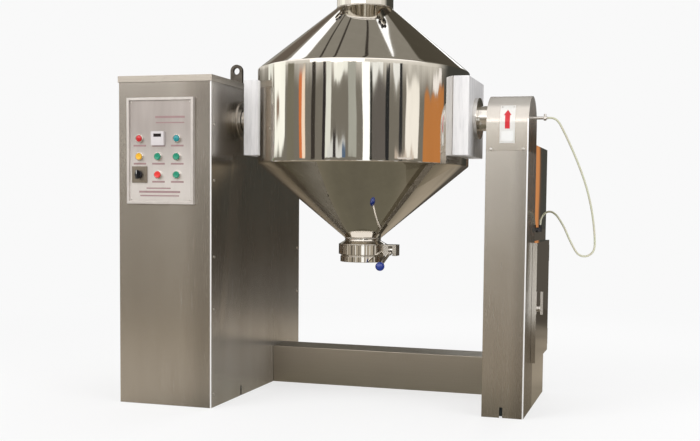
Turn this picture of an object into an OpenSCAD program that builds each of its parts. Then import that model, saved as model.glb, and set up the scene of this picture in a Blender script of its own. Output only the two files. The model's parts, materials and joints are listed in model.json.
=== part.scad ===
// Double cone mixer: a hollow drum of two cones turns on a level shaft between a drive cabinet and a column.
// Lengths are in millimetres. X runs along the shaft to the right, Y runs to the back and Z runs up.
// The modules place their pieces from the point on the floor under the drum, and place() moves that point
// so that the origin lies on the floor under the middle of the whole machine.

/* [Drum] */
// Height of the shaft axis above the floor
axis_h = 1000; // [960:5:1040]
// Outside radius of the cylindrical band
drum_r = 368; // [340:1:380]
// Height of the cylindrical band
band_h = 320; // [290:2:340]
// Sheet thickness of the drum
drum_t = 4; // [3:0.5:6]
// Height of the upper cone
upper_rise = 222; // [200:1:236]
// Height of the lower cone
lower_rise = 254; // [230:1:270]

/* [Saddles and shafts] */
// Distance from the band to the outer plate of a saddle
saddle_out = 32; // [26:1:40]
// Width of a saddle, front to back
saddle_w = 252; // [200:2:270]
// Height of a saddle
saddle_h = 260; // [200:2:280]
// Sheet thickness of a saddle
saddle_t = 6; // [4:0.5:8]
// Radius of the round flange on each saddle
flange_r = 70; // [60:1:85]
// Thickness of that flange
flange_t = 14; // [10:1:18]
// Radius of the shafts where they show
shaft_r = 42; // [38:1:48]
// Radius of the shafts in their bearings
seat_r = 35; // [32:1:37]
// Radius of the left shaft in its sprocket
nose_r = 28; // [24:1:31]

/* [Cabinet] */
// Gap from the left saddle to the cabinet
left_gap = 55; // [45:1:70]
// Width of the cabinet
cab_w = 350; // [345:1:400]
// Distance from the shaft axis forward to the front of the cabinet
cab_front = 260; // [240:5:300]
// Distance from the shaft axis back to the rear of the cabinet
cab_back = 530; // [500:5:560]
// Height of the cabinet panels above the shaft axis
cab_rise = 112; // [95:1:150]
// Thickness of all cover sheets
sheet_t = 2; // [1.5:0.5:3]
// Height of the lid's edge
lid_h = 22; // [18:1:40]
// Overhang of the lid past the panels
lid_over = 3; // [3:0.5:8]
// Thickness of the base plate
base_t = 10; // [8:1:16]
// Leg width of the corner posts
post_w = 40; // [30:1:50]
// Thickness of the corner posts
post_t = 4; // [3:0.5:5]
// Width of the upright slots at the foot of the covers
slot_w = 10; // [8:1:14]
// Height of those slots
slot_h = 35; // [20:1:45]

/* [Lifting lug] */
// Radius of the rounded top of the lug
lug_r = 23.5; // [20:0.5:30]
// Radius of the hole in the lug
lug_hole_r = 12; // [9:0.5:14]
// Thickness of the lug
lug_t = 12; // [8:1:16]
// Height of the hole above the lid
lug_rise = 45; // [35:1:60]
// Distance from the cabinet's inner face back to the hole
lug_in = 31; // [31:1:60]

/* [Control panel] */
// Room beside the outer columns of controls
side_room = 18; // [12:1:26]
// Height of the raised frame
frame_h = 362; // [300:1:380]
// Height of the panel's middle above the floor
panel_z = 877; // [860:1:890]
// Distance from the cabinet's inner face to the panel's middle
panel_in = 187; // [175:1:190]
// Width of the frame's border
frame_b = 9; // [6:1:12]
// How far the frame stands out of the cabinet
frame_stand = 14; // [10:1:20]
// Spacing of the controls from side to side
control_dx = 71; // [60:1:76]
// Spacing of the controls from row to row
control_dz = 61.5; // [55:0.5:70]
// Height of the middle row below the panel's middle
control_drop = 19; // [0:1:30]
// Radius of a bezel ring
bezel_r = 14.5; // [13:0.5:17]
// Radius of a button
button_r = 11; // [9:0.5:12]
// Travel of a button
button_travel = 3; // [2:0.5:4]
// Side of the square meter
meter_w = 48; // [44:1:50]
// Side of the switch's square plate
switch_w = 56; // [46:1:58]

/* [Column] */
// Gap from the right saddle to the column
right_gap = 53; // [45:1:70]
// Width of the column
col_w = 141; // [136:1:160]
// Half depth of the column, and radius of the arch of its cap
col_half = 96; // [92:1:104]
// Height of the cap's lower edge below the shaft axis
cap_drop = 114; // [100:1:130]
// Height of the cap's top above the shaft axis
cap_rise = 73; // [60:1:80]
// Width of the direction plate
sign_w = 50; // [40:1:60]
// Height of the direction plate
sign_h = 124; // [100:1:130]

/* [Rear compartment] */
// Depth of the compartment behind the column
comp_d = 304; // [280:2:330]
// How far the compartment's top stands above the cap's lower edge
comp_over = 30; // [-30:1:60]
// How far the door reaches forward over the side of the column
door_over = 46; // [20:1:60]
// Height of the door's lower edge
door_z = 165; // [155:5:220]
// Height of the door
door_h = 415; // [380:5:450]
// Thickness of the door tray
door_t = 16; // [14:1:22]

/* [Beam] */
// Width of the beam, front to back
beam_w = 132; // [110:2:150]
// Height of the beam
beam_h = 142; // [120:2:150]
// Wall of the beam
beam_t = 5; // [4:0.5:8]

/* [Charging port] */
// Outside radius of the collar
collar_r = 98; // [98:1:110]
// Height of the collar
collar_h = 68; // [50:1:80]
// Radius of the collar's top flange and of the lid
lid_r = 122; // [122:1:135]
// Thickness of that flange
rim_t = 10; // [8:1:14]
// Thickness of the lid gasket
gasket_t = 4; // [3:0.5:6]
// Thickness of the lid's rim
cover_t = 6; // [5:0.5:8]
// Height of the lid's dome
dome_h = 28; // [20:1:34]

/* [Discharge valve] */
// Outside radius of the neck
neck_r = 63; // [60:1:70]
// Radius of the valve body
valve_r = 85; // [84:1:92]
// Height of the sloped flange between neck and valve
slope_h = 17; // [12:1:22]
// Height of the valve body
valve_h = 31; // [28:1:36]
// Wall of the rubber seat
seat_t = 4; // [3:0.5:5]
// Thickness of the flap disc
flap_t = 8; // [6:0.5:10]
// Outside radius of the outlet ring
outlet_r = 79; // [76:1:84]
// Height of the outlet ring
outlet_h = 27; // [20:1:34]
// Radius of the flap's stem
stem_r = 8; // [6:0.5:9]
// Distance from the drum axis to the lever
lever_x = 107; // [105:1:112]
// Length of the lever from the stem to the middle of its ball
lever_len = 150; // [110:5:180]
// Angle of the lever below level when the flap is shut
lever_dip = 19; // [5:1:30]
// Radius of the lever rod
lever_r = 5; // [4:0.5:6]
// Radius of the lever ball
ball_r = 15.5; // [13:0.5:20]

/* [Drive] */
// Teeth of the large sprocket
big_teeth = 28; // [26:1:28]
// Teeth of the small sprocket
small_teeth = 14; // [13:1:16]
// Pitch of the chain
chain_pitch = 25.4; // [25.4]
// Distance from the drum shaft back to the drive shaft
drive_y = 150; // [140:5:180]
// Height of the drive shaft above the floor
drive_z = 300; // [280:5:340]
// Radius of the motor casing
motor_r = 76; // [65:1:80]
// Length of the motor
motor_len = 250; // [220:5:255]

/* [Air line] */
// Length of the pipe outside the cap
pipe_len = 36; // [30:1:50]
// Radius of the pipe
pipe_r = 5; // [4:0.5:6]
// Radius of the hose
hose_r = 3.5; // [3.5]

/* [Hidden] */
$fn = 96;
over = 1;
running = 0.05;
gap = 0.3;
seat_gap = 0.2;

// Places along the shaft
saddle_x = drum_r + saddle_out;
cab_in = saddle_x + left_gap;
cab_out = cab_in + cab_w;
cab_h = axis_h + cab_rise;
col_in = saddle_x + right_gap;
col_out = col_in + col_w;

// Overall reach, which sets the origin
knob_stand = 30;
left_reach = cab_out + lid_over;
fitting_len = 12;
right_reach = col_out + pipe_len + fitting_len;
front_reach = max(drum_r, cab_front + frame_stand + knob_stand);
back_reach = cab_back + lid_over;
origin_x = (left_reach - right_reach) / 2;
origin_y = (front_reach - back_reach) / 2;

// Heights of the drum
band_top = axis_h + band_h / 2;
band_low = axis_h - band_h / 2;
cone_top = band_top + upper_rise;
cone_low = band_low - lower_rise;
top_r = 97.5;

// Charging port
collar_t = 4;
floor_t = 6;
rim_top = cone_top + collar_h;
cover_z = rim_top + gasket_t + seat_gap;
hinge_out = 15;
hinge_y = lid_r + hinge_out;
hinge_z = cover_z + cover_t / 2;
pin_r = 6;
knuckle_r = 12;
knuckle_w = 40;
ear_t = 10;
knob_out = 15;
knob_ring = lid_r + knob_out;
knob_angle = 30;
knob_ear_r = 14;
knob_arm = 11;
stud_r = 5;
stud_gap = 1.2;
knob_r = 16;
knob_h = 16;
knob_lobe = 6;
knob_lobes = 5;
bow_r = 5;
bow_w = 96;
bow_h = 42;
bow_foot_share = 0.65;

// Discharge stack, from the cone down
neck_t = 4;
neck_len = 8;
bore_r = neck_r - neck_t;
slope_z = cone_low - neck_len;
valve_top = slope_z - slope_h;
valve_low = valve_top - valve_h;
outlet_low = valve_low - outlet_h;
stem_z = (valve_top + valve_low) / 2;
seat_in = bore_r - over;
flap_gap = 0.5;
flap_r = seat_in - flap_gap;
flap_hub_r = 11;
stub_short = 11;
stub_end = valve_r - stub_short;
guard_d = 44;
guard_h = 39;
guard_past = 21;
guard_end = lever_x + guard_past;
guard_slot = 15;
hub_r = 13;
hub_w = 14;
guard_roof = 5.5;

// Shafts and bearings
bear_w = 44;
bear_in = 75;
bear_out = 70;
ring_r = 48;
block_r = 68;
block_w = 180;
block_h = 20;
block_drop = 72;
left_bear = -(cab_in + bear_in);
right_bear = col_in + bear_out;
collar_gap = 10;
sprocket_off = 70;
sprocket_x = left_bear - sprocket_off;
tooth_w = 14;
nose_past = 25;
left_end = sprocket_x - nose_past;
shaft_past = 40;
right_end = right_bear + shaft_past;
hole_gap = 4;
cover_ring = 30;
cover_ring_t = 4;
slot_y = -25;

// Chain and sprockets
big_pitch_r = chain_pitch / 2 / sin(180 / big_teeth);
small_pitch_r = chain_pitch / 2 / sin(180 / small_teeth);
roller_r = 7.9;
tip_h = 7;
drive_dz = axis_h - drive_z;
drive_dist = sqrt(drive_y * drive_y + drive_dz * drive_dz);
drive_lean = atan2(drive_y, drive_dz);
link_gap = 0.5;
link_t = 6;
link_w = 22;
drive_shaft_r = 20;

// Reducer and motor
box_in = 24;
box_w = 118;
box_d = 150;
box_h = 170;
box_x = sprocket_x - box_in - box_w;
boss_r = 45;
worm_drop = 45;
motor_z = drive_z - worm_drop;
adapter_t = 15;
motor_flange_r = 84;
stand_t = 6;
stand_w = 110;
fan_len = 60;
fan_gap = 4;
term_w = 90;
term_h = 50;
pedestal_w = 100;
pedestal_d = 140;
pedestal_t = 6;
pedestal_cap = 12;
skirt_gap = 1;
bolt_r = 8;
bolt_head = 9;
bolt_reach = 75;

// Control panel
frame_w = 2 * (control_dx + switch_w / 2 + side_room + frame_b);
panel_x = -(cab_in + panel_in);
plate_back = 6;
front_y = -cab_front;
face_y = front_y - frame_stand + plate_back;
plate_t = 3;
grid_shift = 7;
middle_x = panel_x - grid_shift;
middle_z = panel_z - control_drop;
bezel_stand = 7;
thread_r = 13;
thread_len = 30;
button_stand = 11;
press_gap = 1;
lamp_stand = 10;
block_side = 28;
block_len = 24;
meter_stand = 9;
meter_depth = 45;
meter_corner = 4;
window_wshare = 0.62;
window_hshare = 0.24;
window_upshare = 0.22;
window_deep = 1;
switch_t = 5;
knob_base_r = 13;
knob_base_h = 8;
grip_w = 7;
grip_len = 30;
screw_r = 5;
screw_h = 2.5;
small_screw_r = 3;
small_screw_h = 1.5;

// Cover screws, as shares of the cabinet's height
screw_edge = 21;
screw_shares = [0.041, 0.304, 0.466, 0.70, 0.87];

// Column
cap_low = axis_h - cap_drop;
arch_z = axis_h + cap_rise - col_half;
sign_up = 25;
sign_gap = 0.1;
sign_z = cap_low + sign_up;
sign_t = 1;
rivet_r = 2.2;
rivet_h = 1.2;
rivet_in = 6;
cap_screw_up = 5;
cap_screw_z = cap_low + cap_screw_up;
cap_screw_in = 17;

// Rear compartment
comp_h = cap_low + comp_over;
comp_back = col_half + comp_d;
door_front = col_half - door_over;
door_back = comp_back - door_t;
door_lap = 12;
opening_front = col_half + door_lap;
door_gap = 0.5;
door_wall = 2;
knuckle_dr = 5;
door_pin_r = 3;
door_hinge_x = col_out + door_t - knuckle_dr;
door_hinge_y = door_back + knuckle_dr + door_gap;
hinge_len = 30;
hinge_shares = [0.12, 0.88];
handle_r = 10;
handle_t = 6;
handle_len = 60;
handle_tail = 20;
handle_bar = 9;
spindle_r = 5;
handle_share = 0.44;
tongue_t = 4;
tongue_gap = 1.5;
tongue_len = 16;
handle_y = opening_front + spindle_r + tongue_gap;
handle_z = door_z + door_h * handle_share;

// Beam
beam_back = comp_back;
beam_front = beam_back - beam_w;

// Air line
union_r = 20;
pipe_end = col_out + pipe_len;
nut_r = 9;
nut_t = 8;
barb_r = 4.5;
clip_h = 9;
clip_t = 4;
clip_low = 2;
gland_y = 160;
gland_z = 622;
gland_r = 9;
gland_t = 4;
elbow_r = 6;
elbow_out = 10;
elbow_up = 18;
collet_r = 5;
hose_sides = 8;
hose_steps = 3;

// Route of the hose, from the pipe to the gland, by hand
hose_points = [
    [642, 0, 1000], [652, 0, 1000], [663.5, 1.5, 998], [674, 4.5, 991.5], [682, 8, 981.5],
    [692.5, 13, 962], [712, 23, 922], [735, 34, 870], [757, 46, 814], [775, 58, 757],
    [788, 69, 700], [796, 76.5, 648], [800, 80, 608], [801, 81, 588], [801, 80.5, 572],
    [797.5, 79.5, 557], [788.5, 78, 545.5], [775.5, 76, 538.5], [761, 73.5, 538], [748, 70.5, 544],
    [738, 67.5, 555.5], [728, 65.5, 573], [716, 66, 596], [697, 77, 634], [674, 98, 667],
    [660, 112, 680], [646, 127.5, 686.5], [631, 141, 686], [618, 151, 678], [609, 157, 666],
    [605, 159.5, 653.5], [604, 160, 640]
];

// Moves a piece from the point under the drum to the frame of the whole machine
module place() {
    translate([origin_x, origin_y, 0])
        children();
}

// Cylinder along X from x0 to x1 on the line at height z and depth y
module bar_x(x0, x1, r, y, z) {
    translate([x0, y, z])
        rotate([0, 90, 0])
            cylinder(h = x1 - x0, r = r);
}

// Cylinder along Y from y0 to y1 on the line at x and height z
module bar_y(y0, y1, r, x, z) {
    translate([x, y0, z])
        rotate([-90, 0, 0])
            cylinder(h = y1 - y0, r = r);
}

// Block between two corners
module block(low, high) {
    translate(low)
        cube(high - low);
}

// Outline of two circles joined by their outer tangents, the second one at distance d up the Y axis
module belt_outline(big, small, d) {
    lean = asin((big - small) / d);
    circle(big);
    translate([0, d])
        circle(small);
    polygon([
        [big * cos(lean), big * sin(lean)],
        [small * cos(lean), d + small * sin(lean)],
        [-small * cos(lean), d + small * sin(lean)],
        [-big * cos(lean), big * sin(lean)]
    ]);
}

// Toothed disc, with round gaps for the rollers on its pitch circle
module sprocket_outline(teeth, pitch_r, bore) {
    difference() {
        circle(pitch_r + tip_h);
        for (i = [0 : teeth - 1])
            rotate(i * 360 / teeth)
                translate([pitch_r, 0])
                    circle(roller_r, $fn = 24);
        for (i = [0 : teeth - 1])
            rotate(i * 360 / teeth)
                translate([pitch_r, -roller_r * 0.8])
                    square([tip_h + over, roller_r * 1.6]);
        circle(bore);
    }
}

// Frame of the machine

module base_beam() {
    color("darkgray")
        difference() {
            block([-cab_in, beam_front, 0], [col_in, beam_back, beam_h]);
            block([-cab_in - over, beam_front + beam_t, beam_t],
                [col_in + over, beam_back - beam_t, beam_h - beam_t]);
        }
}

module cabinet_base() {
    stand_x = box_x + box_w / 2;
    color("dimgray") {
        difference() {
            block([-cab_out + sheet_t, -cab_front + sheet_t, 0], [-cab_in - sheet_t, cab_back - sheet_t, base_t]);
            for (x = [-cab_out + sheet_t, -cab_in - sheet_t - post_w])
                for (y = [-cab_front + sheet_t, cab_back - sheet_t - post_w])
                    block([x, y, -over], [x + post_w, y + post_w, base_t + over]);
        }
        difference() {
            block([stand_x - stand_w / 2, drive_y - box_d / 2, base_t],
                [stand_x + stand_w / 2, drive_y + box_d / 2, drive_z - box_h / 2]);
            block([stand_x - stand_w / 2 + stand_t, drive_y - box_d / 2 - over, base_t + stand_t],
                [stand_x + stand_w / 2 - stand_t, drive_y + box_d / 2 + over, drive_z - box_h / 2 - stand_t]);
        }
    }
}

module corner_posts() {
    x_mid = -(cab_in + cab_out) / 2;
    y_mid = (cab_back - cab_front) / 2;
    half_x = cab_w / 2 - sheet_t;
    half_y = (cab_front + cab_back) / 2 - sheet_t;
    color("gray")
        for (sx = [-1, 1])
            for (sy = [-1, 1])
                translate([x_mid, y_mid, 0])
                    scale([sx, sy, 1])
                        difference() {
                            block([half_x - post_w, half_y - post_w, 0], [half_x, half_y, cab_h]);
                            block([half_x - post_w - over, half_y - post_w - over, -over],
                                [half_x - post_t, half_y - post_t, cab_h + over]);
                        }
}

module pedestals() {
    top = axis_h - block_drop;
    color("dimgray")
        for (p = [[left_bear, base_t], [right_bear, 0]]) {
            difference() {
                block([p[0] - pedestal_w / 2, -pedestal_d / 2, p[1]], [p[0] + pedestal_w / 2, pedestal_d / 2, top]);
                block([p[0] - pedestal_w / 2 + pedestal_t, -pedestal_d / 2 + pedestal_t, p[1] - over],
                    [p[0] + pedestal_w / 2 - pedestal_t, pedestal_d / 2 - pedestal_t, top - pedestal_cap]);
            }
            block([p[0] - pedestal_w / 2, -block_w / 2, top - pedestal_cap], [p[0] + pedestal_w / 2, block_w / 2, top]);
        }
}

// Cabinet covers

module cabinet_front_panel() {
    color("silver")
        difference() {
            block([-cab_out, front_y, 0], [-cab_in, front_y + sheet_t, cab_h + lid_h - sheet_t]);
            control_holes(thread_r + gap, front_y - over, front_y + sheet_t + over);
            meter_hole(front_y - over, front_y + sheet_t + over);
        }
}

module cabinet_inner_panel() {
    color("gray") {
        difference() {
            block([-cab_in - sheet_t, front_y + sheet_t, 0], [-cab_in, cab_back - sheet_t, cab_h + lid_h - sheet_t]);
            bar_x(-cab_in - sheet_t - over, -cab_in + over, shaft_r + hole_gap, 0, axis_h);
            block([-cab_in - sheet_t - over, slot_y - slot_w / 2, -over], [-cab_in + over, slot_y + slot_w / 2, slot_h]);
        }
        difference() {
            bar_x(-cab_in, -cab_in + cover_ring_t, shaft_r + cover_ring, 0, axis_h);
            bar_x(-cab_in - over, -cab_in + cover_ring_t + over, shaft_r + hole_gap, 0, axis_h);
        }
    }
}

module cabinet_outer_panel() {
    color("silver")
        block([-cab_out, front_y + sheet_t, 0], [-cab_out + sheet_t, cab_back - sheet_t, cab_h + lid_h - sheet_t]);
}

module cabinet_rear_panel() {
    color("silver")
        block([-cab_out, cab_back - sheet_t, 0], [-cab_in, cab_back, cab_h + lid_h - sheet_t]);
}

module cabinet_lid() {
    skirt = lid_over - skirt_gap;
    color("lightgray")
        difference() {
            block([-cab_out - lid_over, front_y - lid_over, cab_h],
                [-cab_in + lid_over, cab_back + lid_over, cab_h + lid_h]);
            block([-cab_out - lid_over + skirt, front_y - lid_over + skirt, cab_h - over],
                [-cab_in + lid_over - skirt, cab_back + lid_over - skirt, cab_h + lid_h - sheet_t]);
        }
}

module lifting_lug() {
    top = cab_h + lid_h;
    lug_x = -(cab_in + lug_in);
    color("dimgray")
        difference() {
            union() {
                bar_y(-lug_t / 2, lug_t / 2, lug_r, lug_x, top + lug_rise);
                block([lug_x - lug_r, -lug_t / 2, top], [lug_x + lug_r, lug_t / 2, top + lug_rise]);
            }
            bar_y(-lug_t / 2 - over, lug_t / 2 + over, lug_hole_r, lug_x, top + lug_rise);
        }
}

// Control panel. A control's place is its column and row, counted from the middle of the grid.

module at_control(column, row) {
    translate([middle_x + column * control_dx, 0, middle_z + row * control_dz])
        children();
}

module control_holes(r, y0, y1) {
    for (c = [-1 : 1])
        for (k = [-1 : 1])
            if (c != 0 || k != 1)
                at_control(c, k)
                    bar_y(y0, y1, r, 0, 0);
}

module meter_hole(y0, y1) {
    half = meter_w / 2 - meter_corner;
    at_control(0, 1)
        block([-half - gap, y0, -half - gap], [half + gap, y1, half + gap]);
}

module panel_frame() {
    color("whitesmoke")
        difference() {
            block([panel_x - frame_w / 2, front_y - frame_stand, panel_z - frame_h / 2],
                [panel_x + frame_w / 2, front_y, panel_z + frame_h / 2]);
            block([panel_x - frame_w / 2 + frame_b, front_y - frame_stand - over, panel_z - frame_h / 2 + frame_b],
                [panel_x + frame_w / 2 - frame_b, front_y + over, panel_z + frame_h / 2 - frame_b]);
        }
}

module panel_plate() {
    color("silver")
        difference() {
            block([panel_x - frame_w / 2 + frame_b, face_y, panel_z - frame_h / 2 + frame_b],
                [panel_x + frame_w / 2 - frame_b, face_y + plate_t, panel_z + frame_h / 2 - frame_b]);
            control_holes(thread_r, face_y - over, face_y + plate_t + over);
            meter_hole(face_y - over, face_y + plate_t + over);
        }
}

module speed_meter() {
    half = meter_w / 2;
    neck = half - meter_corner;
    window_z = meter_w * window_upshare;
    color("ivory")
        at_control(0, 1)
            difference() {
                union() {
                    block([-half, face_y - meter_stand, -half], [half, face_y, half]);
                    block([-neck, face_y, -neck], [neck, face_y + meter_depth, neck]);
                }
                block([-half * window_wshare, face_y - meter_stand - over, window_z - half * window_hshare],
                    [half * window_wshare, face_y - meter_stand + window_deep, window_z + half * window_hshare]);
            }
}

module lamp() {
    translate([0, face_y - lamp_stand, 0])
        rotate([-90, 0, 0])
            cylinder(h = lamp_stand + thread_len, r = button_r);
}

module lamp_red() {
    color("red")
        at_control(-1, 1)
            lamp();
}

module lamp_teal() {
    color("teal")
        at_control(1, 1)
            lamp();
}

module bezel() {
    difference() {
        union() {
            bar_y(face_y - bezel_stand, face_y, bezel_r, 0, 0);
            bar_y(face_y, face_y + thread_len, thread_r, 0, 0);
        }
        bar_y(face_y - bezel_stand - over, face_y + thread_len + over, button_r + gap, 0, 0);
    }
}

module control_bezels() {
    color("gainsboro")
        for (c = [-1 : 1])
            for (k = [-1 : 1])
                if ((c != 0 || k != 1) && (c != -1 || k != -1))
                    at_control(c, k)
                        bezel();
}

module contact_blocks() {
    half = block_side / 2;
    y0 = face_y + thread_len;
    color("dimgray")
        for (c = [-1 : 1])
            for (k = [-1 : 1])
                if (c != 0 || k != 1)
                    at_control(c, k)
                        block([-half, y0, -half], [half, y0 + block_len, half]);
}

module switch_plate() {
    color("rosybrown")
        at_control(-1, -1)
            difference() {
                union() {
                    block([-switch_w / 2, face_y - switch_t, -switch_w / 2], [switch_w / 2, face_y, switch_w / 2]);
                    bar_y(face_y, face_y + thread_len, thread_r, 0, 0);
                }
                bar_y(face_y - switch_t - over, face_y + thread_len + over, spindle_r + gap, 0, 0);
            }
}

module switch_knob() {
    color("black")
        at_control(-1, -1) {
            bar_y(face_y - switch_t - gap - knob_base_h, face_y - switch_t - gap, knob_base_r, 0, 0);
            block([-grip_w / 2, face_y + plate_back - knob_stand, -grip_len / 2],
                [grip_w / 2, face_y - switch_t - gap - knob_base_h, grip_len / 2]);
            bar_y(face_y - switch_t - gap, face_y + thread_len - gap, spindle_r, 0, 0);
        }
}

module button() {
    bar_y(face_y - button_stand, face_y + thread_len - button_travel - press_gap, button_r, 0, 0);
}

module button_yellow() {
    color("gold")
        at_control(-1, 0)
            button();
}

module button_green_middle() {
    color("seagreen")
        at_control(0, 0)
            button();
}

module button_green_upper() {
    color("seagreen")
        at_control(1, 0)
            button();
}

module button_green_lower() {
    color("seagreen")
        at_control(1, -1)
            button();
}

module button_red() {
    color("tomato")
        at_control(0, -1)
            button();
}

module cover_screws() {
    plate_x = frame_w / 2 - frame_b - small_screw_r * 2;
    plate_z = frame_h / 2 - frame_b - small_screw_r * 2;
    rivet_x = (col_in + col_out) / 2;
    rivet_high = sign_z + sign_h - rivet_in;
    color("gainsboro") {
        for (share = screw_shares)
            for (y = [front_y + screw_edge, cab_back - screw_edge]) {
                bar_x(-cab_in, -cab_in + screw_h, screw_r, y, cab_h * share);
                bar_x(-cab_out - screw_h, -cab_out, screw_r, y, cab_h * share);
            }
        for (sx = [-1, 1])
            for (sz = [-1, 1])
                bar_y(face_y - small_screw_h, face_y, small_screw_r, panel_x + sx * plate_x, panel_z + sz * plate_z);
        for (x = [col_in + cap_screw_in, col_out - cap_screw_in])
            bar_y(-col_half - screw_h, -col_half, screw_r, x, cap_screw_z);
        for (sx = [-1, 1]) {
            x = rivet_x + sx * (sign_w / 2 - rivet_in);
            bar_y(-col_half - sign_t - rivet_h, -col_half - sign_t, rivet_r, x, sign_z + rivet_in);
            translate([0, 0, arch_z])
                rotate([-asin((rivet_high - arch_z) / col_half), 0, 0])
                    bar_y(-col_half - sign_t - rivet_h, -col_half - sign_t, rivet_r, x, 0);
        }
    }
}

// Drive inside the cabinet

module gear_reducer() {
    color("steelblue")
        difference() {
            union() {
                block([box_x, drive_y - box_d / 2, drive_z - box_h / 2],
                    [box_x + box_w, drive_y + box_d / 2, drive_z + box_h / 2]);
                bar_x(box_x + box_w, box_x + box_w + box_in / 3, boss_r, drive_y, drive_z);
                bar_y(drive_y + box_d / 2, drive_y + box_d / 2 + adapter_t, motor_flange_r, box_x + box_w / 2, motor_z);
            }
            bar_x(box_x + box_w / 4, box_x + box_w + box_in, drive_shaft_r + running, drive_y, drive_z);
        }
}

module drive_motor() {
    y0 = drive_y + box_d / 2 + adapter_t;
    y1 = y0 + motor_len;
    x = box_x + box_w / 2;
    color("slategray") {
        bar_y(y0, y0 + adapter_t, motor_flange_r, x, motor_z);
        bar_y(y0, y1 - fan_len, motor_r - fan_gap, x, motor_z);
        bar_y(y1 - fan_len, y1, motor_r, x, motor_z);
        block([x - term_w / 2, y0 + term_h, motor_z], [x + term_w / 2, y0 + term_h + term_w, motor_z + motor_r + term_h / 2]);
    }
}

module bearing_blocks() {
    color("seagreen")
        for (x = [left_bear, right_bear])
            difference() {
                union() {
                    bar_x(x - bear_w / 2, x + bear_w / 2, block_r, 0, axis_h);
                    block([x - bear_w / 2, -block_r, axis_h - block_drop], [x + bear_w / 2, block_r, axis_h]);
                    block([x - bear_w / 2, -block_w / 2, axis_h - block_drop],
                        [x + bear_w / 2, block_w / 2, axis_h - block_drop + block_h]);
                    for (y = [-bolt_reach, bolt_reach])
                        translate([x, y, axis_h - block_drop + block_h])
                            cylinder(h = bolt_head, r = bolt_r * 1.5, $fn = 6);
                }
                bar_x(x - bear_w / 2 - over, x + bear_w / 2 + over, ring_r + running, 0, axis_h);
            }
}

module bearing_rings() {
    color("silver")
        for (x = [left_bear, right_bear])
            difference() {
                bar_x(x - bear_w / 2, x + bear_w / 2, ring_r, 0, axis_h);
                bar_x(x - bear_w / 2 - over, x + bear_w / 2 + over, seat_r, 0, axis_h);
            }
}

module driven_sprocket() {
    color("slategray")
        translate([sprocket_x - tooth_w / 2, 0, axis_h])
            rotate([0, 90, 0])
                linear_extrude(tooth_w)
                    sprocket_outline(big_teeth, big_pitch_r, nose_r);
}

module drive_sprocket() {
    color("slategray") {
        translate([sprocket_x - tooth_w / 2, drive_y, drive_z])
            rotate([0, 90, 0])
                linear_extrude(tooth_w)
                    sprocket_outline(small_teeth, small_pitch_r, drive_shaft_r / 2);
        bar_x(box_x + box_w / 4 + over, sprocket_x + tooth_w, drive_shaft_r, drive_y, drive_z);
    }
}

module drive_chain() {
    big = big_pitch_r + tip_h + link_gap;
    small = small_pitch_r + tip_h + link_gap;
    color("dimgray")
        translate([sprocket_x - link_w / 2, 0, axis_h])
            rotate([180 + drive_lean, 0, 0])
                rotate([90, 0, 90])
                    linear_extrude(link_w)
                        difference() {
                            belt_outline(big + link_t, small + link_t, drive_dist);
                            belt_outline(big, small, drive_dist);
                        }
}

// Column and compartment

module cap_outline(grow) {
    low = cap_low - (grow < 0 ? over : 0);
    half = col_half + grow;
    intersection() {
        translate([0, arch_z])
            circle(half);
        translate([-half, arch_z - over])
            square([2 * half, half + over]);
    }
    translate([-half, low])
        square([2 * half, arch_z - low]);
}

module column_shell() {
    color("silver")
        difference() {
            block([col_in, -col_half, 0], [col_out, col_half, cap_low]);
            block([col_in + sheet_t, -col_half + sheet_t, -over], [col_out - sheet_t, col_half - sheet_t, cap_low + over]);
            block([(col_in + col_out) / 2 - slot_w, -col_half - over, -over],
                [(col_in + col_out) / 2, -col_half + sheet_t + over, slot_h]);
        }
}

module column_cap() {
    color("lightgray")
        difference() {
            translate([col_in, 0, 0])
                rotate([90, 0, 90])
                    linear_extrude(col_w)
                        cap_outline(0);
            translate([col_in + sheet_t, 0, 0])
                rotate([90, 0, 90])
                    linear_extrude(col_w - 2 * sheet_t)
                        cap_outline(-sheet_t);
            bar_x(col_in - over, col_in + sheet_t + over, shaft_r + hole_gap, 0, axis_h);
            bar_x(col_out - sheet_t - over, col_out + over, pipe_r, 0, axis_h);
        }
}

module direction_plate() {
    x_mid = (col_in + col_out) / 2;
    color("whitesmoke")
        intersection() {
            translate([x_mid - sign_w / 2, 0, 0])
                rotate([90, 0, 90])
                    linear_extrude(sign_w)
                        difference() {
                            cap_outline(sign_t);
                            cap_outline(sign_gap);
                        }
            block([col_in, -col_half - sign_t - over, sign_z], [col_out, 0, sign_z + sign_h]);
        }
}

module rear_compartment() {
    color("gray") {
        difference() {
            block([col_in, col_half, 0], [col_out, comp_back, comp_h]);
            block([col_in + sheet_t, col_half - over, -over], [col_out - sheet_t, comp_back - sheet_t, comp_h - sheet_t]);
            block([col_out - sheet_t - over, opening_front, door_z + door_lap],
                [col_out + over, door_back - door_lap, door_z + door_h - door_lap]);
        }
        for (share = hinge_shares) {
            z = door_z + door_h * share;
            translate([door_hinge_x, door_hinge_y, z - hinge_len])
                cylinder(h = hinge_len, r = knuckle_dr);
            translate([door_hinge_x, door_hinge_y, z - over])
                cylinder(h = hinge_len + over, r = door_pin_r);
            block([col_out, door_hinge_y - knuckle_dr / 2, z - hinge_len],
                [door_hinge_x, door_hinge_y + knuckle_dr, z]);
        }
    }
}

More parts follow.
